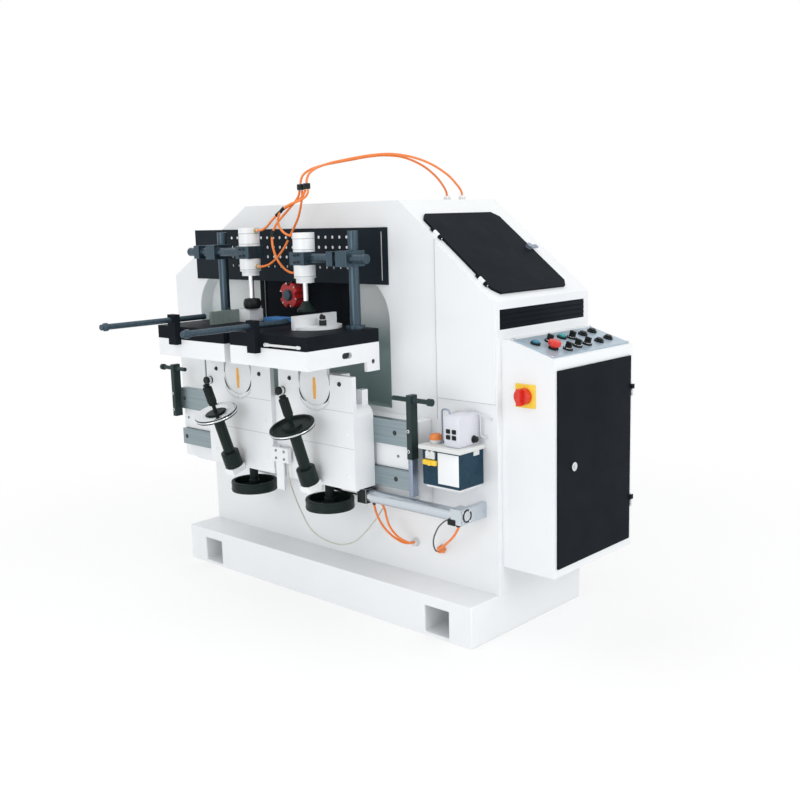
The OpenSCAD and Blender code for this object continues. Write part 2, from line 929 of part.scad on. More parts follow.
module plinth() {
    color(white) difference() {
        slab([-plinth_w / 2, -plinth_d / 2, 0], [plinth_w / 2, plinth_d / 2, plinth_h]);
        slab([-well_half, -plinth_d / 2 + plinth_wall, plinth_wall],
            [well_half, plinth_d / 2 - plinth_wall, plinth_h - plinth_wall]);
        slab([-well_half, -body_front + pedestal_wall, plinth_wall],
            [well_half, plinth_d / 2 - plinth_wall, plinth_h + over]);
        for (s = side) translate([s * (plinth_w / 2 - fork_in) - fork_w / 2, -plinth_d / 2 - over,
            fork_floor])
            cube([fork_w, plinth_d + 2 * over, fork_h]);
    }
}

module pedestal() {
    color(white) {
        difference() {
            slab([-pedestal_left, -body_front, plinth_h], [pedestal_right, plinth_d / 2, pedestal_top]);
            slab([-pedestal_left + pedestal_wall, -body_front + pedestal_wall, plinth_h - over],
                [pedestal_right - pedestal_wall, plinth_d / 2 - pedestal_wall, pedestal_top + over]);
        }
        for (x = fitting_x) bar_y(-body_front - fitting_l, -body_front, x, fitting_z, fitting_r);
        slab([tank_left + flange_margin, -tank_front + flange_margin, tank_low - shelf_t],
            [tank_left + tank_w - flange_margin, -body_front, tank_low]);
    }
}

module casing_outer() {
    polygon([[-casing_left, overhang_bottom], [-pedestal_left, overhang_bottom],
        [-pedestal_left, pedestal_top], [pedestal_right, pedestal_top],
        [pedestal_right, casing_top - right_drop], [pedestal_right - right_run, casing_top],
        [-casing_left + left_run, casing_top], [-casing_left, casing_top - left_drop]]);
}

module casing_inner() {
    w = casing_wall;
    polygon([[-casing_left + w, overhang_bottom + w], [-pedestal_left - w, overhang_bottom + w],
        [-pedestal_left - w, pedestal_top + w], [-pedestal_left + casing_ledge, pedestal_top + w],
        [-pedestal_left + casing_ledge, pedestal_top - over],
        [pedestal_right - casing_ledge, pedestal_top - over],
        [pedestal_right - casing_ledge, pedestal_top + w], [pedestal_right - w, pedestal_top + w],
        [pedestal_right - w, casing_top - right_drop - w * tan((90 - right_a) / 2)],
        [pedestal_right - right_run - w * tan(right_a / 2), casing_top - w],
        [-casing_left + left_run + w * tan(left_a / 2), casing_top - w],
        [-casing_left + w, casing_top - left_drop - w * tan((90 - left_a) / 2)]]);
}

module arch(grow) {
    x0 = -arch_left - grow;
    x1 = arch_right + grow;
    z0 = arch_bottom - grow;
    z1 = arch_top + grow;
    r = arch_r + grow;
    translate([x0, z0]) square([x1 - x0, z1 - z0 - r]);
    translate([x0 + r, z0]) square([x1 - x0 - 2 * r, z1 - z0]);
    for (x = [x0 + r, x1 - r]) translate([x, z1 - r]) circle(r = r);
}

module lid_hinge_fixed(s) {
    translate([s - knuckle_l / 2, lid_axis_y, lid_axis_z]) {
        rotate([0, 90, 0]) cylinder(h = knuckle_l, r = knuckle_r);
        translate([0, -knuckle_r, -lid_axis_z - casing_wall / 2])
            cube([knuckle_l, 2 * knuckle_r, lid_axis_z + casing_wall / 2]);
        translate([-moving_l, 0, 0]) rotate([0, 90, 0]) cylinder(h = knuckle_l + 2 * moving_l, r = pin_r);
    }
}

module casing_sheet() {
    difference() {
        profile_y(-body_front, casing_back) casing_outer();
        profile_y(-inner_front, casing_back - casing_wall) casing_inner();
        profile_y(-body_front - over, -inner_front + over) arch(0);
        slab([pedestal_right - casing_wall - over, -vent_front, vent_low],
            [pedestal_right + over, vent_back, vent_high]);
        on_shoulder() slab([lid_start + lid_overlap, -lid_front + lid_overlap, -casing_wall - over],
            [lid_start + lid_len - lid_overlap, -lid_front + lid_w - lid_overlap, over]);
    }
}

module wing_side() {
    slab([-casing_left - over, -body_front - over, overhang_bottom - over],
        [-pedestal_left, casing_back + over, casing_top + over]);
}

module service_panel() {
    x1 = pedestal_right - service_margin;
    low = casing_top - right_drop - service_margin;
    rise = (x1 - service_left) * tan(right_a);
    profile_y(-body_front - service_t, -body_front)
        polygon([[service_left, service_low], [x1, service_low], [x1, low], [service_left, low + rise]]);
}

module main_casing() {
    color(white) {
        difference() {
            casing_sheet();
            wing_side();
        }
        service_panel();
        on_shoulder() for (s = lid_hinge_s) lid_hinge_fixed(s);
        for (x = top_fit_x) bar_z(casing_top, casing_top + top_fit_h, x, top_fit_y, fitting_r);
    }
}

module casing_wing() {
    color(white) intersection() {
        casing_sheet();
        wing_side();
    }
}

module cutter_recess() {
    color(white) difference() {
        profile_y(-inner_front, recess_y + recess_back) arch(recess_wall);
        profile_y(-inner_front - over, recess_y) arch(0);
        slab([spindle_x - window_half, recess_y - over, window_low],
            [spindle_x + window_half, recess_y + recess_back + over, window_high]);
    }
}

module guard_board() {
    color(black) difference() {
        slab([-guard_left, -body_front - guard_t, guard_low], [guard_right, -body_front, guard_high]);
        for (c = [0 : hole_cols - 1]) for (r = [0 : hole_rows - 1])
            bar_y(-body_front - guard_t - over, -body_front + over, -guard_left + hole_in + c * hole_pitch,
                guard_high - hole_down - r * hole_pitch, hole_r);
        slab([guard_right - slit_in, -body_front - guard_t - over, guard_low + slit_margin],
            [guard_right - slit_in + slit_w, -body_front + over, guard_high - slit_margin]);
    }
}

module slide_base() {
    color(white) {
        profile_y(-base_front, -body_front) {
            translate([-base_left + base_corner, base_low])
                square([base_left + base_right - base_corner, base_high - base_low]);
            translate([-base_left, base_low + base_corner])
                square([base_left + base_right, base_high - base_low - base_corner]);
            translate([-base_left + base_corner, base_low + base_corner]) circle(r = base_corner);
        }
        slab([-base_left, -base_front - web_out, rail_low_z + rail_low_h],
            [base_right, -base_front, base_high - rail_up_h]);
    }
}

module slide_rails() {
    color(steel) {
        slab([-base_left, -rail_front, base_high - rail_up_h], [base_right, -base_front, base_high]);
        slab([-base_left, -rail_front, rail_low_z], [base_right, -base_front, rail_low_z + rail_low_h]);
    }
}

module end_stops() {
    ends = [-base_left - post_w, base_right];
    color(black) for (i = [0, 1]) {
        mid = ends[i] + post_w / 2;
        inner = mid - side[i] * (post_w / 2 + screw_in[i]);
        outer = mid + side[i] * (post_w / 2 + screw_out[i]);
        slab([ends[i], -post_front, post_low], [ends[i] + post_w, -post_back, post_high]);
        bar_x(min(inner, outer), max(inner, outer), screw_y, screw_z, screw_r);
        bar_x(min(outer, outer - side[i] * screw_knob_l), max(outer, outer - side[i] * screw_knob_l),
            screw_y, screw_z, screw_knob_r);
        for (z = post_screw_z) bar_y(-post_front - post_screw_h, -post_front, mid, z, post_screw_r);
    }
}

module feed_cylinder() {
    color(steel) difference() {
        union() {
            bar_x(feed_left, feed_right, feed_y, feed_z, feed_tube_r);
            for (x = [feed_left, feed_right - feed_head_l])
                slab([x, feed_y - feed_head, feed_z - feed_head],
                    [x + feed_head_l, feed_y + feed_head, feed_z + feed_head]);
            slab([feed_left, -rail_front, feed_z], [feed_left + feed_foot, -base_front, rail_low_z]);
            slab([feed_right - feed_foot, feed_y, feed_z - feed_head],
                [feed_right, -body_front, feed_z + feed_head]);
        }
        bar_x(feed_left - over, feed_left + feed_head_l + over, feed_y, feed_z, feed_rod_r + fit);
        bar_x(feed_left + feed_head_l, feed_right - feed_head_l, feed_y, feed_z, feed_bore_r + fit);
    }
}

module cylinder_rod() {
    color(steel) {
        bar_x(rod_lug_left, feed_rod_right, feed_y, feed_z, feed_rod_r);
        bar_x(feed_rod_right - piston_l, feed_rod_right, feed_y, feed_z, feed_bore_r);
        slab([rod_lug_left, feed_y - rod_lug_half, feed_z - rod_lug_half],
            [rod_lug_left + rod_lug_w, feed_y + rod_lug_half, saddle_low]);
    }
}

module lubricator_tank() {
    color([0.07, 0.09, 0.14]) {
        slab([tank_left, -tank_front, tank_low], [tank_left + tank_w, -body_front, tank_top]);
        slab([tank_left - flange_margin, -tank_front - flange_margin, tank_top],
            [tank_left + tank_w + flange_margin, -body_front, flange_top]);
    }
}

module lubricator_pump() {
    neck_top = flange_top + filler_neck_h;
    color([0.62, 0.62, 0.70]) {
        slab([pump_left, -pump_front, flange_top], [pump_left + pump_w, -pump_front + pump_d,
            flange_top + pump_h]);
        bar_z(flange_top, neck_top, filler[0], filler[1], filler_neck_r);
        bar_z(neck_top, neck_top + filler_cap_h, filler[0], filler[1], filler_cap_r);
        bar_y(-tank_front - tap_l, -tank_front, tap_x, tap_z, tap_r);
    }
}

module guide_rods() {
    ends = [spindle_x - guide_half - guide_bracket, spindle_x + guide_half];
    reach = guide_dz + guide_margin;
    color(steel) {
        for (s = side) bar_x(spindle_x - guide_half, spindle_x + guide_half, guide_y,
            spindle_z + s * guide_dz, guide_r);
        for (x = ends) slab([x, guide_y - guide_margin, spindle_z - reach],
            [x + guide_bracket, casing_back - casing_wall, spindle_z + reach]);
    }
}

module spindle_head() {
    color(steel) difference() {
        union() {
            bar_y(-motor_front, motor_l - motor_front, spindle_x, spindle_z, motor_r);
            bar_y(dust_y + dust_t, -motor_front, spindle_x, spindle_z, nose_r);
            for (s = side) bar_x(spindle_x - sleeve_half, spindle_x + sleeve_half, guide_y,
                spindle_z + s * guide_dz, sleeve_r);
            slab([spindle_x - sleeve_half, guide_y - sleeve_r, spindle_z - guide_dz],
                [spindle_x + sleeve_half, guide_y + sleeve_r, spindle_z + guide_dz]);
        }
        for (s = side) bar_x(spindle_x - sleeve_half - over, spindle_x + sleeve_half + over, guide_y,
            spindle_z + s * guide_dz, guide_r + fit);
        bar_y(dust_y - over, -motor_front + spindle_deep, spindle_x, spindle_z, spindle_r + fit);
    }
}

module dust_panel() {
    color(black) difference() {
        slab([spindle_x - dust_half, dust_y, dust_low], [spindle_x + dust_half, dust_y + dust_t, dust_high]);
        bar_y(dust_y - over, dust_y + dust_t + over, spindle_x, spindle_z, dust_hole_r);
    }
}

module cutter_head() {
    color([0.72, 0.10, 0.08]) {
        difference() {
            bar_y(-cutter_front, -cutter_front + cutter_t, spindle_x, spindle_z, cutter_r);
            for (k = [0 : cutter_gullets - 1]) translate([spindle_x, 0, spindle_z])
                rotate([0, 360 * k / cutter_gullets, 0])
                    bar_y(-cutter_front - over, -cutter_front + cutter_t + over, cutter_r, 0, gullet_r);
        }
        bar_y(-cutter_front, dust_y - gap, spindle_x, spindle_z, spindle_r + over);
        bar_y(-cutter_front, -motor_front + spindle_deep - over, spindle_x, spindle_z, spindle_r);
        bar_y(-cutter_front - cutter_nut_l, -cutter_front, spindle_x, spindle_z, cutter_nut_r);
    }
}

module lid_shape() {
    c = lid_corner;
    polygon([[c, 0], [lid_len - c, 0], [lid_len, c], [lid_len, lid_w - c], [lid_len - c, lid_w],
        [c, lid_w], [0, lid_w - c], [0, c]]);
}

module hood_lid() {
    color(black) on_shoulder() difference() {
        union() {
            translate([lid_start, -lid_front, gap]) linear_extrude(height = lid_t) lid_shape();
            for (s = lid_hinge_s) for (d = [-1, 1]) {
                lo = s + d * (knuckle_l / 2 + moving_l / 2) - moving_l / 2 + gap;
                hi = lo + moving_l - 2 * gap;
                bar_x(lo, hi, lid_axis_y, lid_axis_z, knuckle_r);
                slab([lo, lid_axis_y, gap], [hi, -lid_front + knuckle_r, lid_axis_z]);
            }
        }
        for (s = lid_hinge_s) bar_x(s - knuckle_l / 2 - moving_l - over, s + knuckle_l / 2 + moving_l + over,
            lid_axis_y, lid_axis_z, pin_r + fit);
        translate([lid_start + lid_len / 2, -lid_front + lid_w - latch_in, -over])
            cylinder(h = lid_t + 2 * over, r = latch_r / 2 + fit);
    }
}

module lid_latch() {
    color(steel) on_shoulder() translate([lid_start + lid_len / 2, -lid_front + lid_w - latch_in, 0]) {
        translate([0, 0, over]) cylinder(h = lid_t, r = latch_r / 2);
        translate([0, 0, lid_t + 2 * gap]) cylinder(h = latch_r, r = latch_r);
        translate([-latch_w / 2, 0, lid_t + 2 * gap]) cube([latch_w, latch_l, latch_r / 2]);
    }
}

module cabinet_outer() {
    polygon([[pedestal_right, cabinet_low], [cabinet_right, cabinet_low], [cabinet_right, cabinet_high],
        [pedestal_right + cabinet_flat, panel_z], [pedestal_right, panel_z]]);
}

module cabinet_inner() {
    w = cabinet_wall;
    polygon([[pedestal_right + w, cabinet_low + w], [cabinet_right - w, cabinet_low + w],
        [cabinet_right - w, cabinet_high - w * tan((90 - panel_a) / 2)],
        [pedestal_right + cabinet_flat - w * tan(panel_a / 2), panel_z - w],
        [pedestal_right + w, panel_z - w]]);
}

module control_cabinet() {
    color(white) difference() {
        union() {
            difference() {
                profile_y(-cabinet_front, cabinet_back) cabinet_outer();
                profile_y(-cabinet_front + cabinet_wall, cabinet_back - cabinet_wall) cabinet_inner();
                slab([cabinet_right - cabinet_wall - over, -door_front + door_overlap,
                    door_low + door_overlap],
                    [cabinet_right + over, door_back - door_overlap, door_high - door_overlap]);
                on_panel() slab([panel_window, -cabinet_front + panel_window, -cabinet_wall - over],
                    [panel_len - panel_window, cabinet_back - panel_window, over]);
            }
            slab([switch_x - switch_plate, -cabinet_front - switch_plate_t, switch_z - switch_plate],
                [switch_x + switch_plate, -cabinet_front, switch_z + switch_plate]);
            for (z = door_hinge_z) {
                bar_z(z - knuckle_l, z, door_axis_x, door_axis_y, knuckle_r);
                bar_z(z - knuckle_l, z + moving_l, door_axis_x, door_axis_y, pin_r);
                slab([cabinet_right - cabinet_wall, door_axis_y - pin_r, z - knuckle_l],
                    [door_axis_x, door_axis_y + knuckle_r, z]);
            }
        }
        bar_y(-cabinet_front - switch_plate_t - over, -cabinet_front + cabinet_wall + over, switch_x,
            switch_z,
            switch_shaft_r + fit);
    }
}

module cabinet_door() {
    x0 = cabinet_right + gap;
    color(black) difference() {
        union() {
            slab([x0, -door_front, door_low], [x0 + door_t, door_back, door_high]);
            for (z = door_hinge_z) {
                bar_z(z + gap, z + moving_l, door_axis_x, door_axis_y, knuckle_r);
                slab([x0 + door_t / 2, door_back - knuckle_r, z + gap],
                    [door_axis_x + knuckle_r - over, door_axis_y, z + moving_l]);
            }
        }
        for (z = door_hinge_z) bar_z(z - over, z + moving_l + over, door_axis_x, door_axis_y, pin_r + fit);
        bar_x(x0 - over, x0 + door_t + over, lock_y, lock_z, lock_shaft_r + fit);
    }
}

module door_lock() {
    x0 = cabinet_right + gap;
    x1 = x0 + door_t + gap;
    color(steel) {
        bar_x(x0, x1 + lock_l, lock_y, lock_z, lock_shaft_r);
        bar_x(x1, x1 + lock_l, lock_y, lock_z, lock_r);
        slab([x1, lock_y - lock_bar, lock_z - lock_r / 2],
            [x1 + lock_l + lock_bar, lock_y + lock_bar, lock_z + lock_r / 2]);
    }
}

module switch_knob() {
    y0 = -cabinet_front - switch_plate_t - gap;
    color([0.72, 0.10, 0.08]) {
        bar_y(y0 - switch_l, y0, switch_x, switch_z, switch_r);
        bar_y(y0 - switch_l, -cabinet_front + cabinet_wall, switch_x, switch_z, switch_shaft_r);
        slab([switch_x - switch_bar, y0 - switch_l - switch_bar_l, switch_z - switch_r],
            [switch_x + switch_bar, y0 - switch_l, switch_z + switch_r]);
    }
}

module control_panel() {
    spots = concat(push_at, selector_at, [mushroom_at]);
    color([0.70, 0.76, 0.80]) on_panel() difference() {
        union() {
            slab([panel_margin, -cabinet_front + panel_margin, 0],
                [panel_len - panel_margin, cabinet_back - panel_margin, panel_t]);
            for (p = spots) translate([p[0], p[1], panel_t]) cylinder(h = op_collar_h, r = op_collar_r);
        }
        for (p = spots) translate([p[0], p[1], -over])
            cylinder(h = panel_t + op_collar_h + 2 * over, r = op_r + gap);
    }
}

module plunger(p) {
    on_panel() translate([p[0], p[1], -op_deep])
        cylinder(h = op_deep + panel_t + op_collar_h + op_up, r = op_r);
}

module push(i) {
    color(black) plunger(push_at[i]);
}

module selector(i) {
    p = selector_at[i];
    top = panel_t + op_collar_h + op_up;
    color(black) {
        plunger(p);
        on_panel() slab([p[0] - op_r + over, p[1] - sel_bar, top - over],
            [p[0] + op_r - over, p[1] + sel_bar, top + sel_bar_h]);
    }
}

module mushroom() {
    color([0.75, 0.08, 0.07]) {
        plunger(mushroom_at);
        on_panel() translate([mushroom_at[0], mushroom_at[1], panel_t + op_collar_h + op_up])
            cylinder(h = mush_h, r = mush_r);
    }
}

module saddle() {
    back = -rail_front - gap;
    front = -saddle_front;
    color(white) {
        difference() {
            union() {
                profile_y(front, back) {
                    translate([saddle_left, saddle_low])
                        square([saddle_right - saddle_left, saddle_high - saddle_corner - saddle_low]);
                    translate([saddle_left + saddle_corner, saddle_low])
                        square([saddle_right - saddle_left - 2 * saddle_corner, saddle_high - saddle_low]);
                    for (x = [saddle_left + saddle_corner, saddle_right - saddle_corner])
                        translate([x, saddle_high - saddle_corner]) circle(r = saddle_corner);
                }
                slab([saddle_left + saddle_corner, back - over, base_high + gap],
                    [saddle_right - saddle_corner, -base_front, base_high + lip_h]);
                for (x = [saddle_left + dog_in, saddle_right - dog_in - dog_w])
                    slab([x, -dog_front, saddle_high - saddle_corner],
                        [x + dog_w, back, saddle_high + dog_h]);
            }
            for (c = station_x) {
                slab([c - groove_half - gap, front - over, saddle_low - over],
                    [c + groove_half + gap, front + groove_d, saddle_high + over]);
                slab([c - slot_half, front - over, saddle_low + saddle_floor],
                    [c + slot_half, front + slot_d, saddle_high + over]);
                slab([c - notch_half, front - over, notch_low],
                    [c + notch_half, front + notch_d, saddle_high + over]);
                bar_z(saddle_low - over, saddle_low + saddle_floor + over, c, lift_y, tube_hole);
            }
        }
        mid = (saddle_left + saddle_right) / 2;
        slab([mid - sensor_arm_half, -sensor_back, sensor_low],
            [mid + sensor_arm_half, front, sensor_low + sensor_h]);
        slab([sensor_left, -sensor_back - sensor_t, sensor_low],
            [sensor_left + sensor_w, -sensor_back, sensor_low + sensor_h]);
        slab([sensor_left + sensor_t, -sensor_back - strip_t, strip_low],
            [sensor_left + sensor_t + strip_w, -sensor_back, sensor_low]);
    }
}

module knee(i) {
    c = station_x[i];
    face = -saddle_front - gap;
    color(white) {
        difference() {
            union() {
                difference() {
                    slab([c - knee_half, -knee_front, knee_low], [c + knee_half, face, knee_high]);
                    bar_y(-knee_front - over, face + over, c, pivot_z, knee_slot_r);
                    slab([c - knee_slot_r, -knee_front - over, pivot_z],
                        [c + knee_slot_r, face + over, knee_high + over]);
                }
                slab([c - housing_half, face, housing_low], [c + housing_half, -housing_back, knee_high]);
                slab([c - groove_half, face, knee_low], [c + groove_half, face + groove_d, housing_low]);
                slab([c - slot_half + gap, face, nut_low],
                    [c + slot_half - gap, -housing_back, nut_low + nut_h]);
                bar_y(-knee_front - knee_knob_l, -knee_front, c - knee_half + knee_knob_in,
                    knee_knob_z, knee_knob_r);
                on_crank(i) slab([-bracket_half, -bracket_deep, -bracket_t],
                    [bracket_half, bracket_deep, -gap]);
                slab([c - bracket_half, crank_y, knee_low], [c + bracket_half, -knee_front, crank_z - over]);
            }
            bar_y(face - over, -housing_back + over, c, pivot_z, pivot_r + fit);
            bar_z(nut_low - over, nut_low + nut_h + over, c, lift_y, tube_hole);
            on_crank(i) translate([0, 0, -bracket_t - bracket_deep])
                cylinder(h = bracket_t + 2 * bracket_deep, r = crank_shaft_r + fit);
            on_crank(i) cylinder(h = bracket_deep, r = crank_hub_r + gap);
        }
    }
}

module lift_wheel(i) {
    c = station_x[i];
    top = wheel_low + wheel_h;
    color(black) {
        difference() {
            bar_z(wheel_low, top, c, lift_y, wheel_r);
            bar_z(wheel_low + wheel_web, top + over, c, lift_y, wheel_r - wheel_rim);
        }
        bar_z(wheel_low, top, c, lift_y, wheel_hub_r);
        bar_z(top, saddle_low - gap, c, lift_y, collar_r);
        bar_z(wheel_low, lift_screw_top, c, lift_y, lift_screw_r);
    }
}

module tilt_wheel(i) {
    color(black) on_crank(i) {
        translate([0, 0, -bracket_t]) cylinder(h = bracket_t + crank_hub_l, r = crank_shaft_r);
        cylinder(h = crank_hub_l, r = crank_hub_r);
        cylinder(h = disc_up + disc_t, r = crank_shaft_r);
        translate([0, 0, disc_up]) difference() {
            cylinder(h = disc_t, r = disc_r);
            translate([0, 0, disc_t - dish_d]) difference() {
                cylinder(h = disc_t, r = disc_r - disc_rim);
                translate([0, 0, -over]) cylinder(h = disc_t, r = crank_hub_r);
            }
        }
        cylinder(h = grip_up + over, r = neck_r);
        translate([0, 0, grip_up]) cylinder(h = grip_l - grip_r, r = grip_r);
        translate([0, 0, grip_up + grip_l - grip_r]) sphere(r = grip_r);
    }
}

module table_plate(i) {
    c = station_x[i];
    x = c + holder_dx[i];
    color(black) {
        difference() {
            slab([c - table_half, -table_front, plate_low], [c + table_half, -table_back, table_top]);
            bar_z(table_top - fence_pin_l - over, table_top + over, c + fence_dx[i], fence_y,
                fence_pin_r + fit);
        }
        difference() {
            slab([x - holder_half, -table_front - holder_d, table_top - holder_down],
                [x + holder_half, -table_front, table_top + holder_up]);
            bar_y(-table_front - holder_d - over, -table_front + over, x, rod_height, rod_r + fit);
        }
    }
}

module table_bracket(i) {
    c = station_x[i];
    s = side[i];
    seg0 = -knee_front + segment_play;
    seg1 = -saddle_front - gap - segment_play;
    outer = c + s * table_half;
    inner = outer - s * apron_wall;
    color(white) difference() {
        union() {
            difference() {
                slab([c - table_half, -table_front, apron_low], [c + table_half, -table_back, plate_low]);
                slab([c - table_half + apron_wall, -table_front + apron_wall, apron_low - over],
                    [c + table_half - apron_wall, -table_back - apron_wall, plate_low + over]);
            }
            slab([c - table_half + over, (seg0 + seg1) / 2 - rib_half, apron_low],
                [c + table_half - over, (seg0 + seg1) / 2 + rib_half, plate_low]);
            slab([c - neck_half, seg0, pivot_z], [c + neck_half, seg1, apron_low + over]);
            bar_y(seg0, seg1, c, pivot_z, segment_r);
            bar_y(seg0, -housing_back, c, pivot_z, pivot_r);
            slab([min(inner, outer), -table_back - lug_w, apron_low - lug_drop],
                [max(inner, outer), -table_back, apron_low + over]);
        }
        bar_x(min(inner, outer) - over, max(inner, outer) + over, -table_back - lug_w / 2,
            apron_low - over, lug_hole_r);
        for (d = [-1, 1]) bar_x(min(inner, outer) - over, max(inner, outer) + over,
            side_slot_y - d * side_slot_half, apron_low + apron_h / 2, side_slot_r);
        slab([min(inner, outer) - over, side_slot_y - side_slot_half, apron_low + apron_h / 2 - side_slot_r],
            [max(inner, outer) + over, side_slot_y + side_slot_half, apron_low + apron_h / 2 + side_slot_r]);
    }
}

module clamp_stand(i) {
    s = side[i];
    px = station_x[i] + s * post_out;
    cx = station_x[i] - s * clamp_in;
    ox = station_x[i] + s * arm_out[i];
    bx = station_x[i] + s * arm_block_out[i];
    z = arm_z[i];
    color(steel) difference() {
        union() {
            bar_z(table_top, clamp_post_top, px, post_y, clamp_post_r);
            bar_z(table_top, table_top + post_foot_h, px, post_y, post_foot_r);
            bar_x(min(cx, ox), max(cx, ox), arm_y, z, arm_r);
            slab([px - cross_half, arm_y - arm_r - cross_wall, z - cross_half],
                [px + cross_half, post_y + clamp_post_r + cross_wall, z + cross_half]);
            slab([bx - arm_block_half, arm_y - arm_block_up, z - arm_block_up],
                [bx + arm_block_half, arm_y + arm_block_up, z + arm_block_up]);
            slab([cx - clamp_block, arm_y - clamp_block, z - clamp_block_up],
                [cx + clamp_block, arm_y + clamp_block, z + clamp_block_up]);
        }
        bar_z(z - clamp_block_up - over, z + clamp_block_up + over, cx, arm_y, clamp_collar_r + gap);
    }
}

module clamp_cylinder(i) {
    s = side[i];
    cx = station_x[i] - s * clamp_in;
    z = arm_z[i];
    low = z - clamp_down - clamp_collar_l;
    color(white) difference() {
        union() {
            bar_z(z + clamp_block_up, z + clamp_up, cx, arm_y, clamp_r);
            bar_z(z - clamp_down, z - clamp_block_up, cx, arm_y, clamp_r);
            bar_z(low, z + clamp_up, cx, arm_y, clamp_collar_r);
            for (pz = [z - port_down, z + port_up])
                bar_x(min(cx, cx - s * (clamp_r + port_l)), max(cx, cx - s * (clamp_r + port_l)),
                    arm_y, pz, port_r);
        }
        bar_z(low - over, low + clamp_collar_l + over, cx, arm_y, ram_r + fit);
        bar_z(low + clamp_collar_l, z + clamp_up - ram_roof, cx, arm_y, ram_chamber_r);
    }
}

module clamp_ram(i) {
    cx = station_x[i] - side[i] * clamp_in;
    foot = table_top + foot_up;
    color(black) {
        bar_z(foot, arm_z[i] + ram_top, cx, arm_y, ram_r);
        intersection() {
            translate([cx, arm_y, foot + foot_h / 2]) sphere(r = foot_r);
            bar_z(foot, foot + foot_h, cx, arm_y, foot_r);
        }
    }
}

module fence(i) {
    s = side[i];
    x = station_x[i] + fence_dx[i];
    low = table_top;
    color(white) {
        slab([x - fence_t / 2, -fence_front[i], low], [x + fence_t / 2, -fence_back[i], low + fence_h]);
        intersection() {
            bar_z(low, low + fence_base, x, fence_y, fence_r);
            slab([min(x, x + s * fence_r), fence_y - fence_r, low],
                [max(x, x + s * fence_r), fence_y + fence_r, low + fence_base]);
        }
        bar_z(low - fence_pin_l, low + fence_base, x, fence_y, fence_pin_r);
        bar_z(low, low + fence_knob_h, x + s * fence_knob_in, fence_y, fence_knob_r);
        if (i == 0) slab([x, fence_y, low], [x + fence_t / 2 + heel_w, fence_y + heel_l, low + fence_h]);
    }
}

module stop_rod(i) {
    x = station_x[i] + holder_dx[i];
    front = -rod_front[i];
    color(black) {
        bar_y(front, front + rod_l, x, rod_height, rod_r);
        bar_y(front + rod_ring_in, front + rod_ring_in + rod_ring_l, x, rod_height, rod_ring_r);
    }
}

module overhead_hoses() {
    color([0.85, 0.35, 0.05]) {
        hose(over_a, hose_r, 3, [1, 0, 0]);
        hose(over_b, hose_r, 3, [1, 0, 0]);
    }
}

module carriage_lines() {
    color([0.85, 0.35, 0.05]) {
        hose(clamp_ll, hose_r, 2, [0, 1, 0]);
        hose(clamp_rl, hose_r, 2, [0, 1, 0]);
        hose(clamp_lu, hose_r, 2, [0, 1, 0]);
        hose(clamp_ru, hose_r, 2, [0, 1, 0]);
        hose(cable, cable_r, 2, [0, 1, 0]);
        slab(tee_a[0], tee_a[1]);
        slab(tee_b[0], tee_b[1]);
    }
}

module lower_hoses() {
    color([0.85, 0.35, 0.05]) {
        hose(low_a, hose_r, 3, [1, 1, 0]);
        hose(low_b, hose_r, 3, [1, 1, 0]);
        hose(low_c, hose_r, 3, [-1, 1, 0]);
        hose(low_d, cable_r, 3, [-1, 1, 0]);
    }
}

plinth();
pedestal();
main_casing();
casing_wing();
cutter_recess();
guard_board();
slide_base();
slide_rails();
end_stops();
feed_cylinder();
lubricator_tank();
lubricator_pump();
control_cabinet();
control_panel();
guide_rods();
lower_hoses();
overhead_hoses();
hood_lid();
lid_latch();
cabinet_door();
door_lock();
switch_knob();
spindle_head();
dust_panel();
cutter_head();
push(0);  // push_1
push(1);  // push_2
push(2);  // push_3
push(3);  // push_4
push(4);  // push_5
push(5);  // push_6
selector(0);  // selector_1
selector(1);  // selector_2
selector(2);  // selector_3
selector(3);  // selector_4
selector(4);  // selector_5
mushroom();
saddle();
cylinder_rod();
carriage_lines();
knee(0);  // knee_left
lift_wheel(0);  // lift_wheel_left
tilt_wheel(0);  // tilt_wheel_left
table_plate(0);  // table_plate_left
table_bracket(0);  // table_bracket_left
clamp_stand(0);  // clamp_stand_left
clamp_cylinder(0);  // clamp_cylinder_left
clamp_ram(0);  // clamp_ram_left
fence(0);  // fence_left
stop_rod(0);  // stop_rod_left
knee(1);  // knee_right
lift_wheel(1);  // lift_wheel_right
tilt_wheel(1);  // tilt_wheel_right
table_plate(1);  // table_plate_right
table_bracket(1);  // table_bracket_right
clamp_stand(1);  // clamp_stand_right
clamp_cylinder(1);  // clamp_cylinder_right
clamp_ram(1);  // clamp_ram_right
fence(1);  // fence_right
stop_rod(1);  // stop_rod_right
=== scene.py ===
import json
import math

import bmesh
import bpy
from mathutils import Matrix, Vector

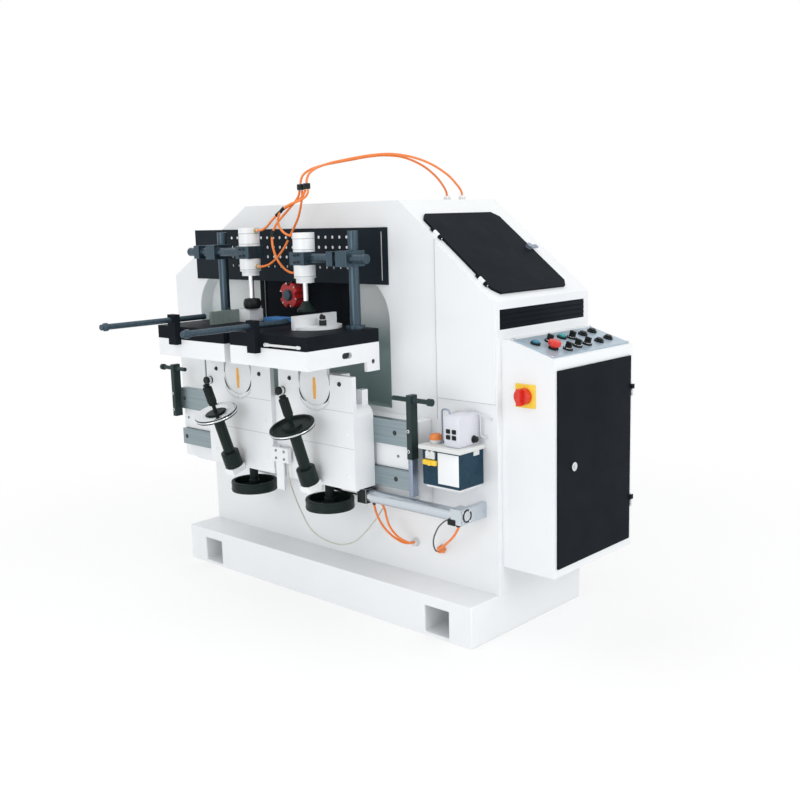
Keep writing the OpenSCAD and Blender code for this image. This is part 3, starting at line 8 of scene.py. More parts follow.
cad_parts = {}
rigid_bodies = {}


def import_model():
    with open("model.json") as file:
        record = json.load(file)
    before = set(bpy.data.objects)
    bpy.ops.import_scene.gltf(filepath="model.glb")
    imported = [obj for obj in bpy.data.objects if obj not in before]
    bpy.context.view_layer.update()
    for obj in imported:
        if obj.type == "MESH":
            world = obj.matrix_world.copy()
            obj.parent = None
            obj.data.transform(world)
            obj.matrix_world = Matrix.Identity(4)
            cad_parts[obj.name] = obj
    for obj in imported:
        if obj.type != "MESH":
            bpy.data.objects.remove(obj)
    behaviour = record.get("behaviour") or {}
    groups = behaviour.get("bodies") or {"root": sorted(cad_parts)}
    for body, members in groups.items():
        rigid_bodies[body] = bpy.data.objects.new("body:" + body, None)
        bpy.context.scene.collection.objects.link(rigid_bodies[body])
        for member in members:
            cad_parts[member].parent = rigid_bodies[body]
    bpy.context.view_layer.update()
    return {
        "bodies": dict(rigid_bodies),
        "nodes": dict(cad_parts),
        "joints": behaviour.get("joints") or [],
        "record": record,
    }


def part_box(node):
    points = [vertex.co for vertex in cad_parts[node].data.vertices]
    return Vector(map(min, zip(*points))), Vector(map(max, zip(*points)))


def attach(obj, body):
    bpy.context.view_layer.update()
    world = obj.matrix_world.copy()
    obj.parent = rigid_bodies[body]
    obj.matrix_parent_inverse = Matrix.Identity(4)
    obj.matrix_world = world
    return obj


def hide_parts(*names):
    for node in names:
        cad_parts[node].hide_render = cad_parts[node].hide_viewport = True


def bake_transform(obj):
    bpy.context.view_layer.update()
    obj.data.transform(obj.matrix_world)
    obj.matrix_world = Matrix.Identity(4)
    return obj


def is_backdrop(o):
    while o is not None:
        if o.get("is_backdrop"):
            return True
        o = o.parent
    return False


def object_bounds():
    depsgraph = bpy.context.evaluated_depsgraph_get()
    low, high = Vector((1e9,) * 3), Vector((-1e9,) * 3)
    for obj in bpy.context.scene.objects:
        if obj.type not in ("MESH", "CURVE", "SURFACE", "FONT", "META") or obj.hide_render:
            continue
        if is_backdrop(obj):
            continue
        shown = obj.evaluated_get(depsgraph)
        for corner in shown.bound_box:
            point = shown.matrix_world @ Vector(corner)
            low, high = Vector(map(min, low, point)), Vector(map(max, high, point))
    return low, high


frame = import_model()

NODES = frame["nodes"]
RECORD = frame["record"]
BODY = {n: b for b, ns in RECORD["behaviour"]["bodies"].items() for n in ns}
SIDES = ("left", "right")
SIGN = {"left": -1.0, "right": 1.0}
TAU = 2 * math.pi
MM = 0.001
TO_FRONT, TO_REAR = (0, -1, 0), (0, 1, 0)
TO_LEFT, TO_RIGHT = (-1, 0, 0), (1, 0, 0)
TO_FLOOR, TO_TOP = (0, 0, -1), (0, 0, 1)

# Camera at the photograph's viewing angle
BACK = Vector((0.6729, -0.7189, 0.1743)).normalized()
RIGHT = Vector((0.7300, 0.6834, 0.0)).normalized()
UP = BACK.cross(RIGHT).normalized()
ROLL = math.radians(-1.53)
EYE = (2.6878, -2.6948, 1.350)
LENS, SENSOR = 46.84, 36.0
cam_data = bpy.data.cameras.new("camera")
cam_data.lens, cam_data.sensor_width = LENS, SENSOR
cam = bpy.data.objects.new("camera", cam_data)
bpy.context.scene.collection.objects.link(cam)
ax = RIGHT * math.cos(ROLL) + UP * math.sin(ROLL)
ay = UP * math.cos(ROLL) - RIGHT * math.sin(ROLL)
cam.matrix_world = Matrix.Translation(EYE) @ Matrix((ax, ay, BACK)).transposed().to_4x4()
bpy.context.scene.camera = cam

# Materials
COAT_ROUGH = 0.12
BUMP_DEPTH = 0.001
LEAST_ROUGH = 0.03


def material(name, dark, light, rough, metal=0.0, grain=14.0, stretch=(1, 1, 1), bump=0.02, fine=420.0,
             rough_var=0.08, coat=0.0, spec=0.5, split=None):
    """Procedural finish: colour drifts between two tones, roughness drifts, and a fine bump breaks the gloss.
    split = (axis, (start, end), dark, light) fades to another pair of tones along that axis."""
    m = bpy.data.materials.new(name)
    m.use_nodes = True
    t = m.node_tree
    bsdf = t.nodes["Principled BSDF"]
    bsdf.inputs["Metallic"].default_value = metal
    bsdf.inputs["Specular IOR Level"].default_value = spec
    bsdf.inputs["Coat Weight"].default_value = coat
    bsdf.inputs["Coat Roughness"].default_value = COAT_ROUGH
    coord = t.nodes.new("ShaderNodeTexCoord")
    mapping = t.nodes.new("ShaderNodeMapping")
    mapping.inputs["Scale"].default_value = stretch
    t.links.new(coord.outputs["Object"], mapping.inputs["Vector"])

    def noise(scale, detail):
        n = t.nodes.new("ShaderNodeTexNoise")
        n.inputs["Scale"].default_value = scale
        n.inputs["Detail"].default_value = detail
        t.links.new(mapping.outputs["Vector"], n.inputs["Vector"])
        return n.outputs["Fac"]

    def mix(fac, a, b):
        n = t.nodes.new("ShaderNodeMix")
        n.data_type = "RGBA"
        t.links.new(fac, n.inputs["Factor"])
        for value, socket in ((a, n.inputs["A"]), (b, n.inputs["B"])):
            if hasattr(value, "is_output"):
                t.links.new(value, socket)
            else:
                socket.default_value = (*value, 1.0)
        return n.outputs["Result"]

    drift = noise(grain, 5.0)
    tone = mix(drift, dark, light)
    if split:
        axis, (start, end), dark2, light2 = split
        sep = t.nodes.new("ShaderNodeSeparateXYZ")
        t.links.new(coord.outputs["Object"], sep.inputs[0])
        past = t.nodes.new("ShaderNodeMapRange")
        past.interpolation_type = "SMOOTHSTEP"
        past.inputs["From Min"].default_value = start
        past.inputs["From Max"].default_value = end
        t.links.new(sep.outputs["XYZ".index(axis)], past.inputs["Value"])
        tone = mix(past.outputs["Result"], tone, mix(drift, dark2, light2))
    t.links.new(tone, bsdf.inputs["Base Color"])
    ramp = t.nodes.new("ShaderNodeMapRange")
    ramp.inputs["To Min"].default_value = max(rough - rough_var, LEAST_ROUGH)
    ramp.inputs["To Max"].default_value = min(rough + rough_var, 1.0)
    t.links.new(noise(grain * 2.3, 6.0), ramp.inputs["Value"])
    t.links.new(ramp.outputs["Result"], bsdf.inputs["Roughness"])
    b = t.nodes.new("ShaderNodeBump")
    b.inputs["Strength"].default_value = bump
    b.inputs["Distance"].default_value = BUMP_DEPTH
    t.links.new(noise(fine, 2.0), b.inputs["Height"])
    t.links.new(b.outputs["Normal"], bsdf.inputs["Normal"])
    return m


M = {
    "white": material("white_enamel", (0.78, 0.805, 0.825), (0.85, 0.868, 0.882), 0.36, grain=5.0, bump=0.05,
                      coat=0.2),
    "black": material("black_enamel", (0.006, 0.008, 0.011), (0.014, 0.018, 0.023), 0.46, grain=9.0,
                      bump=0.10, spec=0.025),
    "stop": material("dark_green_steel", (0.016, 0.030, 0.030), (0.036, 0.056, 0.055), 0.42, grain=16.0,
                     bump=0.10, spec=0.15),
    "guard": material("black_board", (0.005, 0.010, 0.015), (0.012, 0.021, 0.029), 0.55, grain=12.0,
                      bump=0.15, spec=0.12),
    "steel": material("machined_steel", (0.21, 0.275, 0.30), (0.36, 0.425, 0.45), 0.36, 0.85, grain=3.0,
                      stretch=(1, 8, 60), bump=0.05, fine=30.0),
    "post": material("blued_steel", (0.022, 0.042, 0.060), (0.085, 0.130, 0.165), 0.30, 0.72, grain=7.0,
                     stretch=(30, 30, 2), bump=0.03),
    "bright": material("ground_steel", (0.62, 0.64, 0.66), (0.80, 0.82, 0.84), 0.16, 1.0, grain=20.0,
                       bump=0.03),
    "alu": material("drawn_aluminium", (0.52, 0.57, 0.62), (0.64, 0.69, 0.74), 0.26, 0.85, grain=4.0,
                    stretch=(1, 3, 3), bump=0.004, fine=50.0, rough_var=0.04),
    "plastic": material("black_plastic", (0.005, 0.008, 0.008), (0.013, 0.017, 0.017), 0.40, grain=40.0,
                        bump=0.12, spec=0.20),
    "wheel": material("dark_green_casting", (0.004, 0.011, 0.010), (0.013, 0.023, 0.021), 0.38, grain=50.0,
                      bump=0.25, fine=260.0, spec=0.16),
    "red": material("red_coating", (0.42, 0.012, 0.016), (0.58, 0.03, 0.03), 0.36, grain=60.0, bump=0.10),
    "red_cap": material("red_plastic", (0.60, 0.020, 0.012), (0.70, 0.035, 0.02), 0.28, grain=30.0,
                        bump=0.04),
    "orange": material("orange_hose", (0.78, 0.17, 0.02), (0.90, 0.26, 0.05), 0.36, grain=70.0, bump=0.06),
    "orange_cap": material("orange_plastic", (0.74, 0.20, 0.04), (0.84, 0.27, 0.06), 0.40, grain=60.0,
                           bump=0.06),
    "cable": material("pale_cable", (0.46, 0.47, 0.40), (0.60, 0.60, 0.53), 0.50, grain=90.0, bump=0.08),
    "grey_cable": material("grey_cable", (0.06, 0.065, 0.06), (0.12, 0.125, 0.12), 0.50, grain=90.0,
                           bump=0.08),
    "navy": material("navy_tank", (0.005, 0.024, 0.044), (0.018, 0.060, 0.098), 0.28, grain=10.0, bump=0.03,
                     spec=0.16),
    "lilac": material("lilac_grey_cover", (0.60, 0.61, 0.68), (0.70, 0.71, 0.77), 0.42, grain=24.0,
                      bump=0.08),
    "panel": material("silver_panel", (0.34, 0.445, 0.53), (0.45, 0.54, 0.615), 0.32, 0.25, grain=4.0,
                      stretch=(60, 2, 60), bump=0.01, fine=30.0),
    "blue": material("blue_plastic", (0.02, 0.18, 0.30), (0.045, 0.26, 0.38), 0.30, grain=50.0, bump=0.05),
    "teal": material("teal_plastic", (0.02, 0.30, 0.28), (0.04, 0.38, 0.36), 0.30, grain=50.0, bump=0.05),
    "yellow": material("yellow_plastic", (0.80, 0.52, 0.02), (0.90, 0.62, 0.04), 0.38, grain=50.0, bump=0.05),
    "gold": material("gold_pointer", (0.80, 0.34, 0.03), (0.92, 0.50, 0.08), 0.34, 0.2, grain=60.0,
                     bump=0.05),
    "grey_green": material("grey_green_face", (0.16, 0.21, 0.20), (0.27, 0.33, 0.31), 0.42, 0.35, grain=8.0,
                           stretch=(1, 30, 4), bump=0.06),
    "brass": material("brass_fitting", (0.52, 0.36, 0.12), (0.68, 0.50, 0.20), 0.28, 1.0, grain=60.0,
                      bump=0.05),
    "pale": material("pale_plate", (0.62, 0.64, 0.64), (0.74, 0.75, 0.74), 0.44, grain=30.0, bump=0.06),
    # Dark bolts, screws and plugs, and the same dark used as painted shade in the knee and apron slots.
    "dark_and_shade": material("dark_parts_and_painted_shade", (0.022, 0.026, 0.030), (0.045, 0.05, 0.055), 0.60, grain=90.0, bump=0.05,
                    spec=0.25),
    "blue_pad": material("blue_pad", (0.03, 0.16, 0.42), (0.06, 0.24, 0.55), 0.55, grain=80.0, bump=0.20),
    # Recess sheet: grey-green below 0.90 m, fading to pale above 1.05 m; the grey-green lower part is painted
    # shade inside the recess.
    "recess": material("recess_sheet_painted_shade", (0.245, 0.345, 0.34), (0.365, 0.47, 0.465), 0.40, grain=6.0, bump=0.06,
                       split=("Z", (0.90, 1.05), (0.62, 0.66, 0.67), (0.74, 0.77, 0.78))),
    "blue_steel": material("blue_grey_steel", (0.22, 0.27, 0.36), (0.34, 0.39, 0.48), 0.34, 0.6, grain=5.0,
                           stretch=(8, 8, 1), bump=0.05),
    "seam": material("seam_line", (0.34, 0.36, 0.39), (0.44, 0.46, 0.49), 0.60, grain=90.0, bump=0.05),
}

# Mesh building
SMOOTH_ANGLE = 32    # degrees: edges sharper than this stay hard on the small pieces
ALL_SMOOTH = 180     # degrees: no edge stays hard, until harden() sets the normals
EDGE_ANGLE = 38      # degrees: edges sharper than this are rounded on the CAD solids
BESIDE_ANGLE = 70    # degrees: a rounded edge takes the normals of faces within this turn
EDGE_SEGMENTS = 2
MERGE_ANGLE = 0.6    # degrees: faces of a CAD solid that turn less than this become one
WELD_MM, WELD_M = 1e-4, 2e-6
FLAT = 0.99999       # a face whose normals agree this well is drawn flat


def basis(axis):
    """Two unit vectors square to the axis, and the axis."""
    w = Vector(axis).normalized()
    u = w.cross(Vector((0, 0, 1)) if abs(w.z) < 0.9 else Vector((0, 1, 0))).normalized()
    return u, w.cross(u), w


class Build:
    """Gathers shapes in one mesh, in millimetres; done() makes the piece with its finish and body."""

    def __init__(self):
        self.bm = bmesh.new()

    def faces(self, rings, closed=True):
        loops = [[self.bm.verts.new(p) for p in ring] for ring in rings]
        n = len(loops[0])
        for a, b in zip(loops, loops[1:]):
            for i in range(n):
                self.bm.faces.new((a[i], a[(i + 1) % n], b[(i + 1) % n], b[i]))
        if closed:
            self.bm.faces.new(list(reversed(loops[0])))
            self.bm.faces.new(loops[-1])
        return self

    def lathe(self, at, axis, profile, n=32):
        """profile = (radius, height) pairs from bottom to top, closed with flat ends."""
        u, v, w = basis(axis)
        at = Vector(at)
        rings = [[at + w * h + (u * math.cos(TAU * k / n) + v * math.sin(TAU * k / n)) * max(r, 0.01)
                  for k in range(n)] for r, h in profile]
        return self.faces(rings)

    def rod(self, a, b, r, n=24, c=None):
        """A round bar between two points, with a chamfer c at each end."""
        a, b = Vector(a), Vector(b)
        h = (b - a).length
        c = min(r * 0.15, h * 0.2) if c is None else c
        return self.lathe(a, b - a, [(r - c, 0), (r, c), (r, h - c), (r - c, h)], n)

    def prism(self, outline, at, u, v, w, h, c=0.0):
        """A flat outline in (u, v), raised by h along w, with a chamfer c on its upper edge."""
        at, u, v, w = Vector(at), Vector(u), Vector(v), Vector(w)
        cx = sum(p[0] for p in outline) / len(outline)
        cy = sum(p[1] for p in outline) / len(outline)

        def ring(shrink, up):
            pts = []
            for x, y in outline:
                d = math.hypot(x - cx, y - cy) or 1.0
                pts.append(at + u * (x - (x - cx) / d * shrink) + v * (y - (y - cy) / d * shrink) + w * up)
            return pts
        levels = [ring(0, 0), ring(0, h - c), ring(c * 1.2, h)] if c else [ring(0, 0), ring(0, h)]
        return self.faces(levels)

    def box(self, lo, hi, c=1.0, frame=None):
        """A block between two corners with rounded edges; frame turns it into place."""
        lo, hi = Vector(lo), Vector(hi)
        part = bmesh.new()
        bmesh.ops.create_cube(part, size=1.0)
        size = hi - lo
        for vert in part.verts:
            vert.co = Vector((vert.co[i] * size[i] for i in range(3))) + (lo + hi) / 2
        c = min(c, min(abs(s) for s in size) * 0.4)
        bmesh.ops.bevel(part, geom=part.edges[:], offset=c, segments=2, affect="EDGES", profile=0.5)
        if frame is not None:
            part.transform(frame)
        mesh = bpy.data.meshes.new("part")
        part.to_mesh(mesh)
        part.free()
        self.bm.from_mesh(mesh)
        bpy.data.meshes.remove(mesh)
        return self

    def hexagon(self, at, axis, r, h, c=0.8):
        u, v, w = basis(axis)
        pts = [(r * math.cos(TAU * k / 6), r * math.sin(TAU * k / 6)) for k in range(6)]
        return self.prism(pts, at, u, v, w, h, c)

    def bolt(self, at, axis, r, h):
        """Hexagon head on a washer."""
        at, w = Vector(at), Vector(axis).normalized()
        self.lathe(at, w, [(r * 1.35, 0), (r * 1.35, h * 0.22), (r * 1.25, h * 0.28)], 20)
        return self.hexagon(at + w * h * 0.28, w, r, h * 0.72, h * 0.15)

    def turned(self, at, axis, loop, n=40):
        """A closed loop of (radius, height) pairs turned about the axis: a ring or a bored piece."""
        u, v, w = basis(axis)
        at = Vector(at)
        arms = [u * math.cos(TAU * k / n) + v * math.sin(TAU * k / n) for k in range(n)]
        return self.faces([[at + w * h + d * rad for rad, h in loop] for d in arms + arms[:1]], closed=False)

    def socket(self, at, axis, r, h):
        """Round cap head with a socket."""
        profile = [(r, 0), (r, h * 0.85), (r * 0.9, h), (r * 0.55, h), (r * 0.5, h * 0.4)]
        return self.lathe(at, axis, profile, 18)

    def dome(self, at, axis, r, h, n=20):
        steps = [(r * math.cos(a), h * math.sin(a)) for a in [math.pi / 2 * k / 5 for k in range(6)]]
        return self.lathe(at, axis, steps, n)

    def ring(self, at, axis, radius, tube, n=48, m=10):
        loop = [(radius + tube * math.cos(TAU * k / m), tube * math.sin(TAU * k / m)) for k in range(m)]
        return self.turned(at, axis, loop, n)

    def sweep(self, path, r, n=12):
        """A round tube along a path, without twist."""
        path = [Vector(p) for p in path]
        ref = None
        loops = []
        for i, p in enumerate(path):
            d = (path[min(i + 1, len(path) - 1)] - path[max(i - 1, 0)]).normalized()
            if ref is None:
                ref = basis(d)[0]
            u = (ref - d * ref.dot(d)).normalized()
            v = d.cross(u)
            ref = u
            loops.append([p + (u * math.cos(TAU * k / n) + v * math.sin(TAU * k / n)) * r for k in range(n)])
        return self.faces(loops)

    def done(self, name, body, mat, replaces=()):
        """body is None for a piece that runs between two bodies; it then rides neither."""
        bmesh.ops.remove_doubles(self.bm, verts=self.bm.verts, dist=WELD_MM)
        bmesh.ops.recalc_face_normals(self.bm, faces=self.bm.faces)
        self.bm.transform(Matrix.Scale(MM, 4))
        mesh = bpy.data.meshes.new(name)
        self.bm.to_mesh(mesh)
        self.bm.free()
        ob = bpy.data.objects.new(name, mesh)
        bpy.context.scene.collection.objects.link(ob)
        finish_mesh(ob, mat)
        if body:
            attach(ob, body)
        if replaces:
            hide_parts(*replaces)
        return ob


def finish_mesh(ob, mat, angle=SMOOTH_ANGLE):
    ob.data.materials.clear()
    ob.data.materials.append(M[mat])
    for poly in ob.data.polygons:
        poly.use_smooth = True
        poly.material_index = 0
    ob.data.set_sharp_from_angle(angle=math.radians(angle))


def harden(ob, marks):
    """Keeps flat and round faces true: a rounded edge (mark 1) takes the normals of faces beside it."""
    mesh = ob.data
    around = {}
    for poly in mesh.polygons:
        for v in poly.vertices:
            around.setdefault(v, []).append(poly)
    close, beside = math.cos(math.radians(EDGE_ANGLE)), math.cos(math.radians(BESIDE_ANGLE))
    normals = [None] * len(mesh.loops)
    for poly in mesh.polygons:
        limit = beside if marks[poly.index] else close
        flat = not marks[poly.index]
        for loop in poly.loop_indices:
            touching = around[mesh.loops[loop].vertex_index]
            near = [q for q in touching
                    if not marks[q.index] and q.normal.dot(poly.normal) > limit] or touching
            normals[loop] = sum((q.normal * q.area for q in near), Vector()).normalized()
            flat = flat and normals[loop].dot(poly.normal) > FLAT
        poly.use_smooth = not flat
    mesh.normals_split_custom_set(normals)


def dress(node, mat, width):
    """A copy of the CAD solid, its edges rounded as paint or machining leaves them, in the node's place."""
    bm = bmesh.new()
    bm.from_mesh(NODES[node].data)
    bmesh.ops.remove_doubles(bm, verts=bm.verts, dist=WELD_M)
    bmesh.ops.dissolve_limit(bm, angle_limit=math.radians(MERGE_ANGLE), verts=bm.verts, edges=bm.edges)
    for face in bm.faces:
        face.material_index = 0
    mesh = bpy.data.meshes.new(node + "_dressed")
    bm.to_mesh(mesh)
    bm.free()
    for _ in range(2):
        mesh.materials.append(M[mat])
    ob = bpy.data.objects.new(node + "_finished", mesh)
    bpy.context.scene.collection.objects.link(ob)
    bev = ob.modifiers.new("edges", "BEVEL")
    bev.width, bev.segments, bev.material = width, EDGE_SEGMENTS, 1
    bev.limit_method, bev.angle_limit = "ANGLE", math.radians(EDGE_ANGLE)
    bev.use_clamp_overlap = True
    bev.harden_normals = False
    ob.data = bpy.data.meshes.new_from_object(ob.evaluated_get(bpy.context.evaluated_depsgraph_get()))
    ob.modifiers.clear()
    marks = [poly.material_index for poly in ob.data.polygons]
    finish_mesh(ob, mat, ALL_SMOOTH)
    harden(ob, marks)
    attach(ob, BODY[node])
    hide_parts(node)


def keep(node, mat):
    """The CAD solid stays and takes a procedural finish."""
    NODES[node].data.materials.clear()
    NODES[node].data.materials.append(M[mat])


# Cords: the routes and the two tees of part.scad
ROUTES = {
    "over_a": [(3, -290, 1465), (4, -287, 1480), (8, -277, 1497), (18, -252, 1513), (32, -206, 1527),
               (46, -156, 1536), (60, -100, 1545), (74, -38, 1555), (90, 32, 1561), (110, 110, 1555),
               (131, 184, 1528), (145, 240, 1491), (150, 278, 1455), (150, 296, 1432), (150, 300, 1417)],
    "over_b": [(33, -290, 1467), (34, -287, 1482), (37, -277, 1499), (45, -252, 1516), (56, -206, 1531),
               (67, -156, 1541), (79, -100, 1551), (94, -30, 1561), (113, 45, 1565), (140, 120, 1555),
               (168, 190, 1531), (196, 248, 1493), (215, 282, 1454), (221, 297, 1432), (222, 300, 1417)],
    "clamp_ll": [(-198, -320, 1186), (-176, -320, 1187), (-153, -310, 1195), (-136, -290, 1216),
                 (-116, -272, 1250), (-92, -266, 1287), (-68, -263, 1322), (-38, -267, 1360),
                 (-8, -280, 1402), (6, -288, 1426), (9, -290, 1443)],
    "clamp_rl": [(-10, -320, 1167), (-32, -323, 1169), (-53, -333, 1184), (-70, -346, 1215),
                 (-84, -351, 1258), (-91, -344, 1300), (-85, -326, 1336), (-66, -306, 1366),
                 (-36, -296, 1396), (-11, -291, 1421), (-3, -290, 1443)],
    "clamp_lu": [(-198, -320, 1312), (-172, -321, 1314), (-140, -326, 1325), (-108, -331, 1344),
                 (-70, -333, 1367), (-30, -327, 1389), (2, -313, 1405), (20, -299, 1423), (27, -290, 1445)],
    "clamp_ru": [(-10, -320, 1293), (-30, -322, 1294), (-49, -329, 1304), (-60, -339, 1326),
                 (-55, -346, 1354), (-34, -345, 1380), (-4, -333, 1398), (18, -314, 1408), (33, -299, 1420),
                 (39, -292, 1433), (40, -290, 1445)],
    "low_a": [(270, -254, 394), (272, -254, 372), (283, -253, 344), (306, -250, 311), (338, -240, 281),
              (364, -222, 261), (376, -204, 254), (378, -189, 253)],
    "low_b": [(278, -254, 399), (294, -254, 397), (309, -253, 387), (318, -252, 370), (323, -251, 348),
              (336, -249, 315), (362, -240, 284), (384, -219, 264), (391, -203, 258), (392, -189, 257)],
    "low_c": [(660, -275, 394), (657, -274, 376), (640, -271, 350), (608, -263, 320), (570, -250, 292),
              (538, -234, 273), (518, -214, 261), (510, -201, 257), (508, -189, 256)],
    "low_d": [(647, -254, 400), (626, -254, 398), (594, -253, 387), (562, -249, 364), (540, -243, 339),
              (520, -235, 307), (508, -223, 279), (500, -204, 253), (498, -189, 247)],
    "cable": [(-30, -374, 507), (-30, -374, 480), (-28, -370, 440), (-22, -358, 390), (-14, -338, 330),
              (0, -310, 262), (40, -290, 226), (108, -270, 212), (170, -254, 232), (222, -242, 282),
              (268, -232, 340), (289, -226, 376), (290, -225, 397)],
}
TEES = (((-10, -297, 1444), (16, -283, 1464)), ((20, -297, 1446), (46, -283, 1466)))
HOSE_R, CABLE_R = 4.0, 2.5
HOSE_STEPS, PIPE_STEPS = 6, 4
COUPLER_R, COUPLER_HALF = 5.8, 11


def smooth(points, steps):
    """A smooth curve through the points."""
    p = [Vector(q) for q in points]
    out = []
    for i in range(len(p) - 1):
        a, b, c, d = p[max(i - 1, 0)], p[i], p[i + 1], p[min(i + 2, len(p) - 1)]
        for j in range(steps):
            t = j / steps
            out.append(b + (c - a) * (t / 2) + (a - b * 2.5 + c * 2 - d / 2) * t * t
                       + ((b - c) * 1.5 + (d - a) / 2) * t ** 3)
    return out + [p[-1]]


def hose(name, path, r, mat, body=None, bend=None, replaces=()):
    """A cord along a path, on one body, or on none when it runs between two."""
    ob = Build().sweep(path, r).done(name, body, mat, replaces=replaces)
    if bend:
        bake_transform(ob)


for key in ("over_a", "over_b"):
    hose("hose_" + key, smooth(ROUTES[key], HOSE_STEPS), HOSE_R, "orange",
         bend=("carriage", "frame"), replaces=("overhead_hoses",))
for key, where in (("clamp_ll", "left"), ("clamp_rl", "right"), ("clamp_lu", "left"), ("clamp_ru", "right")):
    path = smooth(ROUTES[key], HOSE_STEPS)
    cut = len(path) // 2
    lower, upper = path[:cut + 1], path[cut:]
    table, knee = "table_" + where, "knee_" + where
    half = (lower[-1] - lower[-2]).normalized() * COUPLER_HALF
    b = Build().rod(lower[-1] - half, lower[-1] + half, COUPLER_R, 16)
    joint = b.done("coupler_" + key, knee, "plastic")
    hose("hose_" + key + "_low", lower, HOSE_R, "orange", bend=(table, knee),
         replaces=("carriage_lines",))
    hose("hose_" + key + "_high", upper, HOSE_R, "orange", bend=(knee, "carriage"),
         replaces=("carriage_lines",))
for key, r, mat in (("low_a", HOSE_R, "orange"), ("low_b", HOSE_R, "orange"), ("low_c", HOSE_R, "orange"),
                    ("low_d", CABLE_R, "grey_cable")):
    hose("hose_" + key, smooth(ROUTES[key], HOSE_STEPS), r, mat, body="frame",
         replaces=("lower_hoses",))
hose("sensor_cable", smooth(ROUTES["cable"], HOSE_STEPS), CABLE_R, "cable",
     bend=("carriage", "frame"), replaces=("carriage_lines",))
b = Build()
for lo, hi in TEES:
    b.box(lo, hi, 3)
b.done("hose_tees", "carriage", "plastic", replaces=("carriage_lines",))

# CAD solids with rounded edges: node, finish and width of the edge in metres
SINGLE = (
    ("plinth", "white", 0.006), ("pedestal", "white", 0.004), ("main_casing", "white", 0.005),
    ("casing_wing", "white", 0.005), ("cutter_recess", "recess", 0.002), ("slide_base", "white", 0.004),
    ("slide_rails", "steel", 0.0015), ("end_stops", "stop", 0.002), ("feed_cylinder", "alu", 0.002),
    ("lubricator_tank", "navy", 0.004), ("control_cabinet", "white", 0.003),
    ("control_panel", "panel", 0.001), ("hood_lid", "black", 0.002), ("lid_latch", "blue_steel", 0.002),
    ("cabinet_door", "black", 0.002), ("door_lock", "bright", 0.001), ("switch_knob", "red_cap", 0.004),
    ("cutter_head", "red", 0.0015),
    ("mushroom", "red_cap", 0.0015), ("saddle", "white", 0.003), ("cylinder_rod", "bright", 0.0015),
    ("spindle_head", "steel", 0.003), ("dust_panel", "black", 0.001))
PAIRED = (
    ("knee", "white", 0.003), ("lift_wheel", "wheel", 0.003), ("tilt_wheel", "wheel", 0.0025),
    ("table_plate", "black", 0.002), ("table_bracket", "white", 0.004), ("clamp_stand", "post", 0.002),
    ("clamp_cylinder", "white", 0.003), ("stop_rod", "post", 0.002))
PUSH_COLOURS = ("blue", "teal", "plastic", "plastic", "plastic", "plastic")
SELECTORS = 5
for node, mat, width in SINGLE:
    dress(node, mat, width)
for side in SIDES:
    for node, mat, width in PAIRED:
        dress(node + "_" + side, mat, width)
dress("fence_left", "grey_green", 0.002)
dress("fence_right", "white", 0.002)
keep("guard_board", "guard")
keep("guide_rods", "bright")
for i, mat in enumerate(PUSH_COLOURS, 1):
    dress("push_%d" % i, mat, 0.002)
for i in range(1, SELECTORS + 1):
    dress("selector_%d" % i, "plastic", 0.0015)

# Casing: seams, rear cover, louvre, hose fittings, guard dots, recess shields
SEAM_EDGE = 0.3
REAR_LOUVRES, REAR_PITCH = 9, 14
SLATS, SLAT_PITCH, SLAT_LEAN = 4, 15.5, math.radians(-14)
BLOCK_Z = 252
ROOF_Y, ROOF_Z, ROOF_NUT = 300, 1401, 10
DOT_COLUMNS, DOT_ROWS, DOT_PITCH = 20, 3, 35
b = Build()
for lo, hi in (((490.2, -171, 692), (492, -169.9, 762)), ((492.4, -173.7, 765), (494.4, -172.8, 1274)),
               ((492, -171, 762.2), (732, -169.9, 764))):
    b.box(lo, hi, SEAM_EDGE)
b.done("panel_seams", "frame", "seam")
b = Build().box((-330, 304.6, 235), (330, 306.6, 590), 1)
for k in range(REAR_LOUVRES):
    b.box((-140, 306, 300 + REAR_PITCH * k), (140, 309, 306 + REAR_PITCH * k), 1.4)
b.done("rear_cover", "frame", "white")
b = Build()
for x in (-318, -106, 106, 318):
    for z in (247, 578):
        b.dome((x, 306.2, z), TO_REAR, 6, 3)
b.done("rear_cover_screws", "frame", "bright")
b = Build().box((727, -160, 990), (731, 317, 1064), 1)
for k in range(SLATS):
    turn = Matrix.Translation((735, 0, 1004 + SLAT_PITCH * k)) @ Matrix.Rotation(SLAT_LEAN, 4, "Y")
    b.box((-1.2, -155, -9), (1.2, 312, 9), 0.8, turn)
b.done("vent_louvre", "frame", "black")
for x, name, mat in ((385, "hose_block_left", "pale"), (503, "hose_block_right", "orange_cap")):
    b = Build().lathe((x, -189.5, BLOCK_Z), TO_REAR, [(11, 0), (12.4, 1.5), (12.4, 18)], 24)
    b.hexagon((x, -176, BLOCK_Z), TO_REAR, 15, 5)
    b.done(name, "frame", mat)
b = Build()
for x in (150, 222):
    b.hexagon((x, ROOF_Y, ROOF_Z), TO_TOP, 14, ROOF_NUT)
    b.lathe((x, ROOF_Y, ROOF_Z + ROOF_NUT), TO_TOP, [(9, 0), (9, 5), (7, 7)], 20)
b.done("hose_fittings", "frame", "pale")
b = Build()
for column in range(DOT_COLUMNS):
    for row in range(DOT_ROWS):
        b.lathe((-569 + DOT_PITCH * column, -170, 1283 - DOT_PITCH * row), TO_FRONT,
                [(5.7, 0), (5.7, 2.9), (5.2, 3.4)], 16)
b.done("guard_dots", "frame", "white")
b = Build()
for x0, x1 in ((-450, -426.5), (2.5, 90)):
    b.box((x0, -113.8, 900), (x1, -112.1, 1146), 0.5)
b.done("recess_shields", "frame", "black")
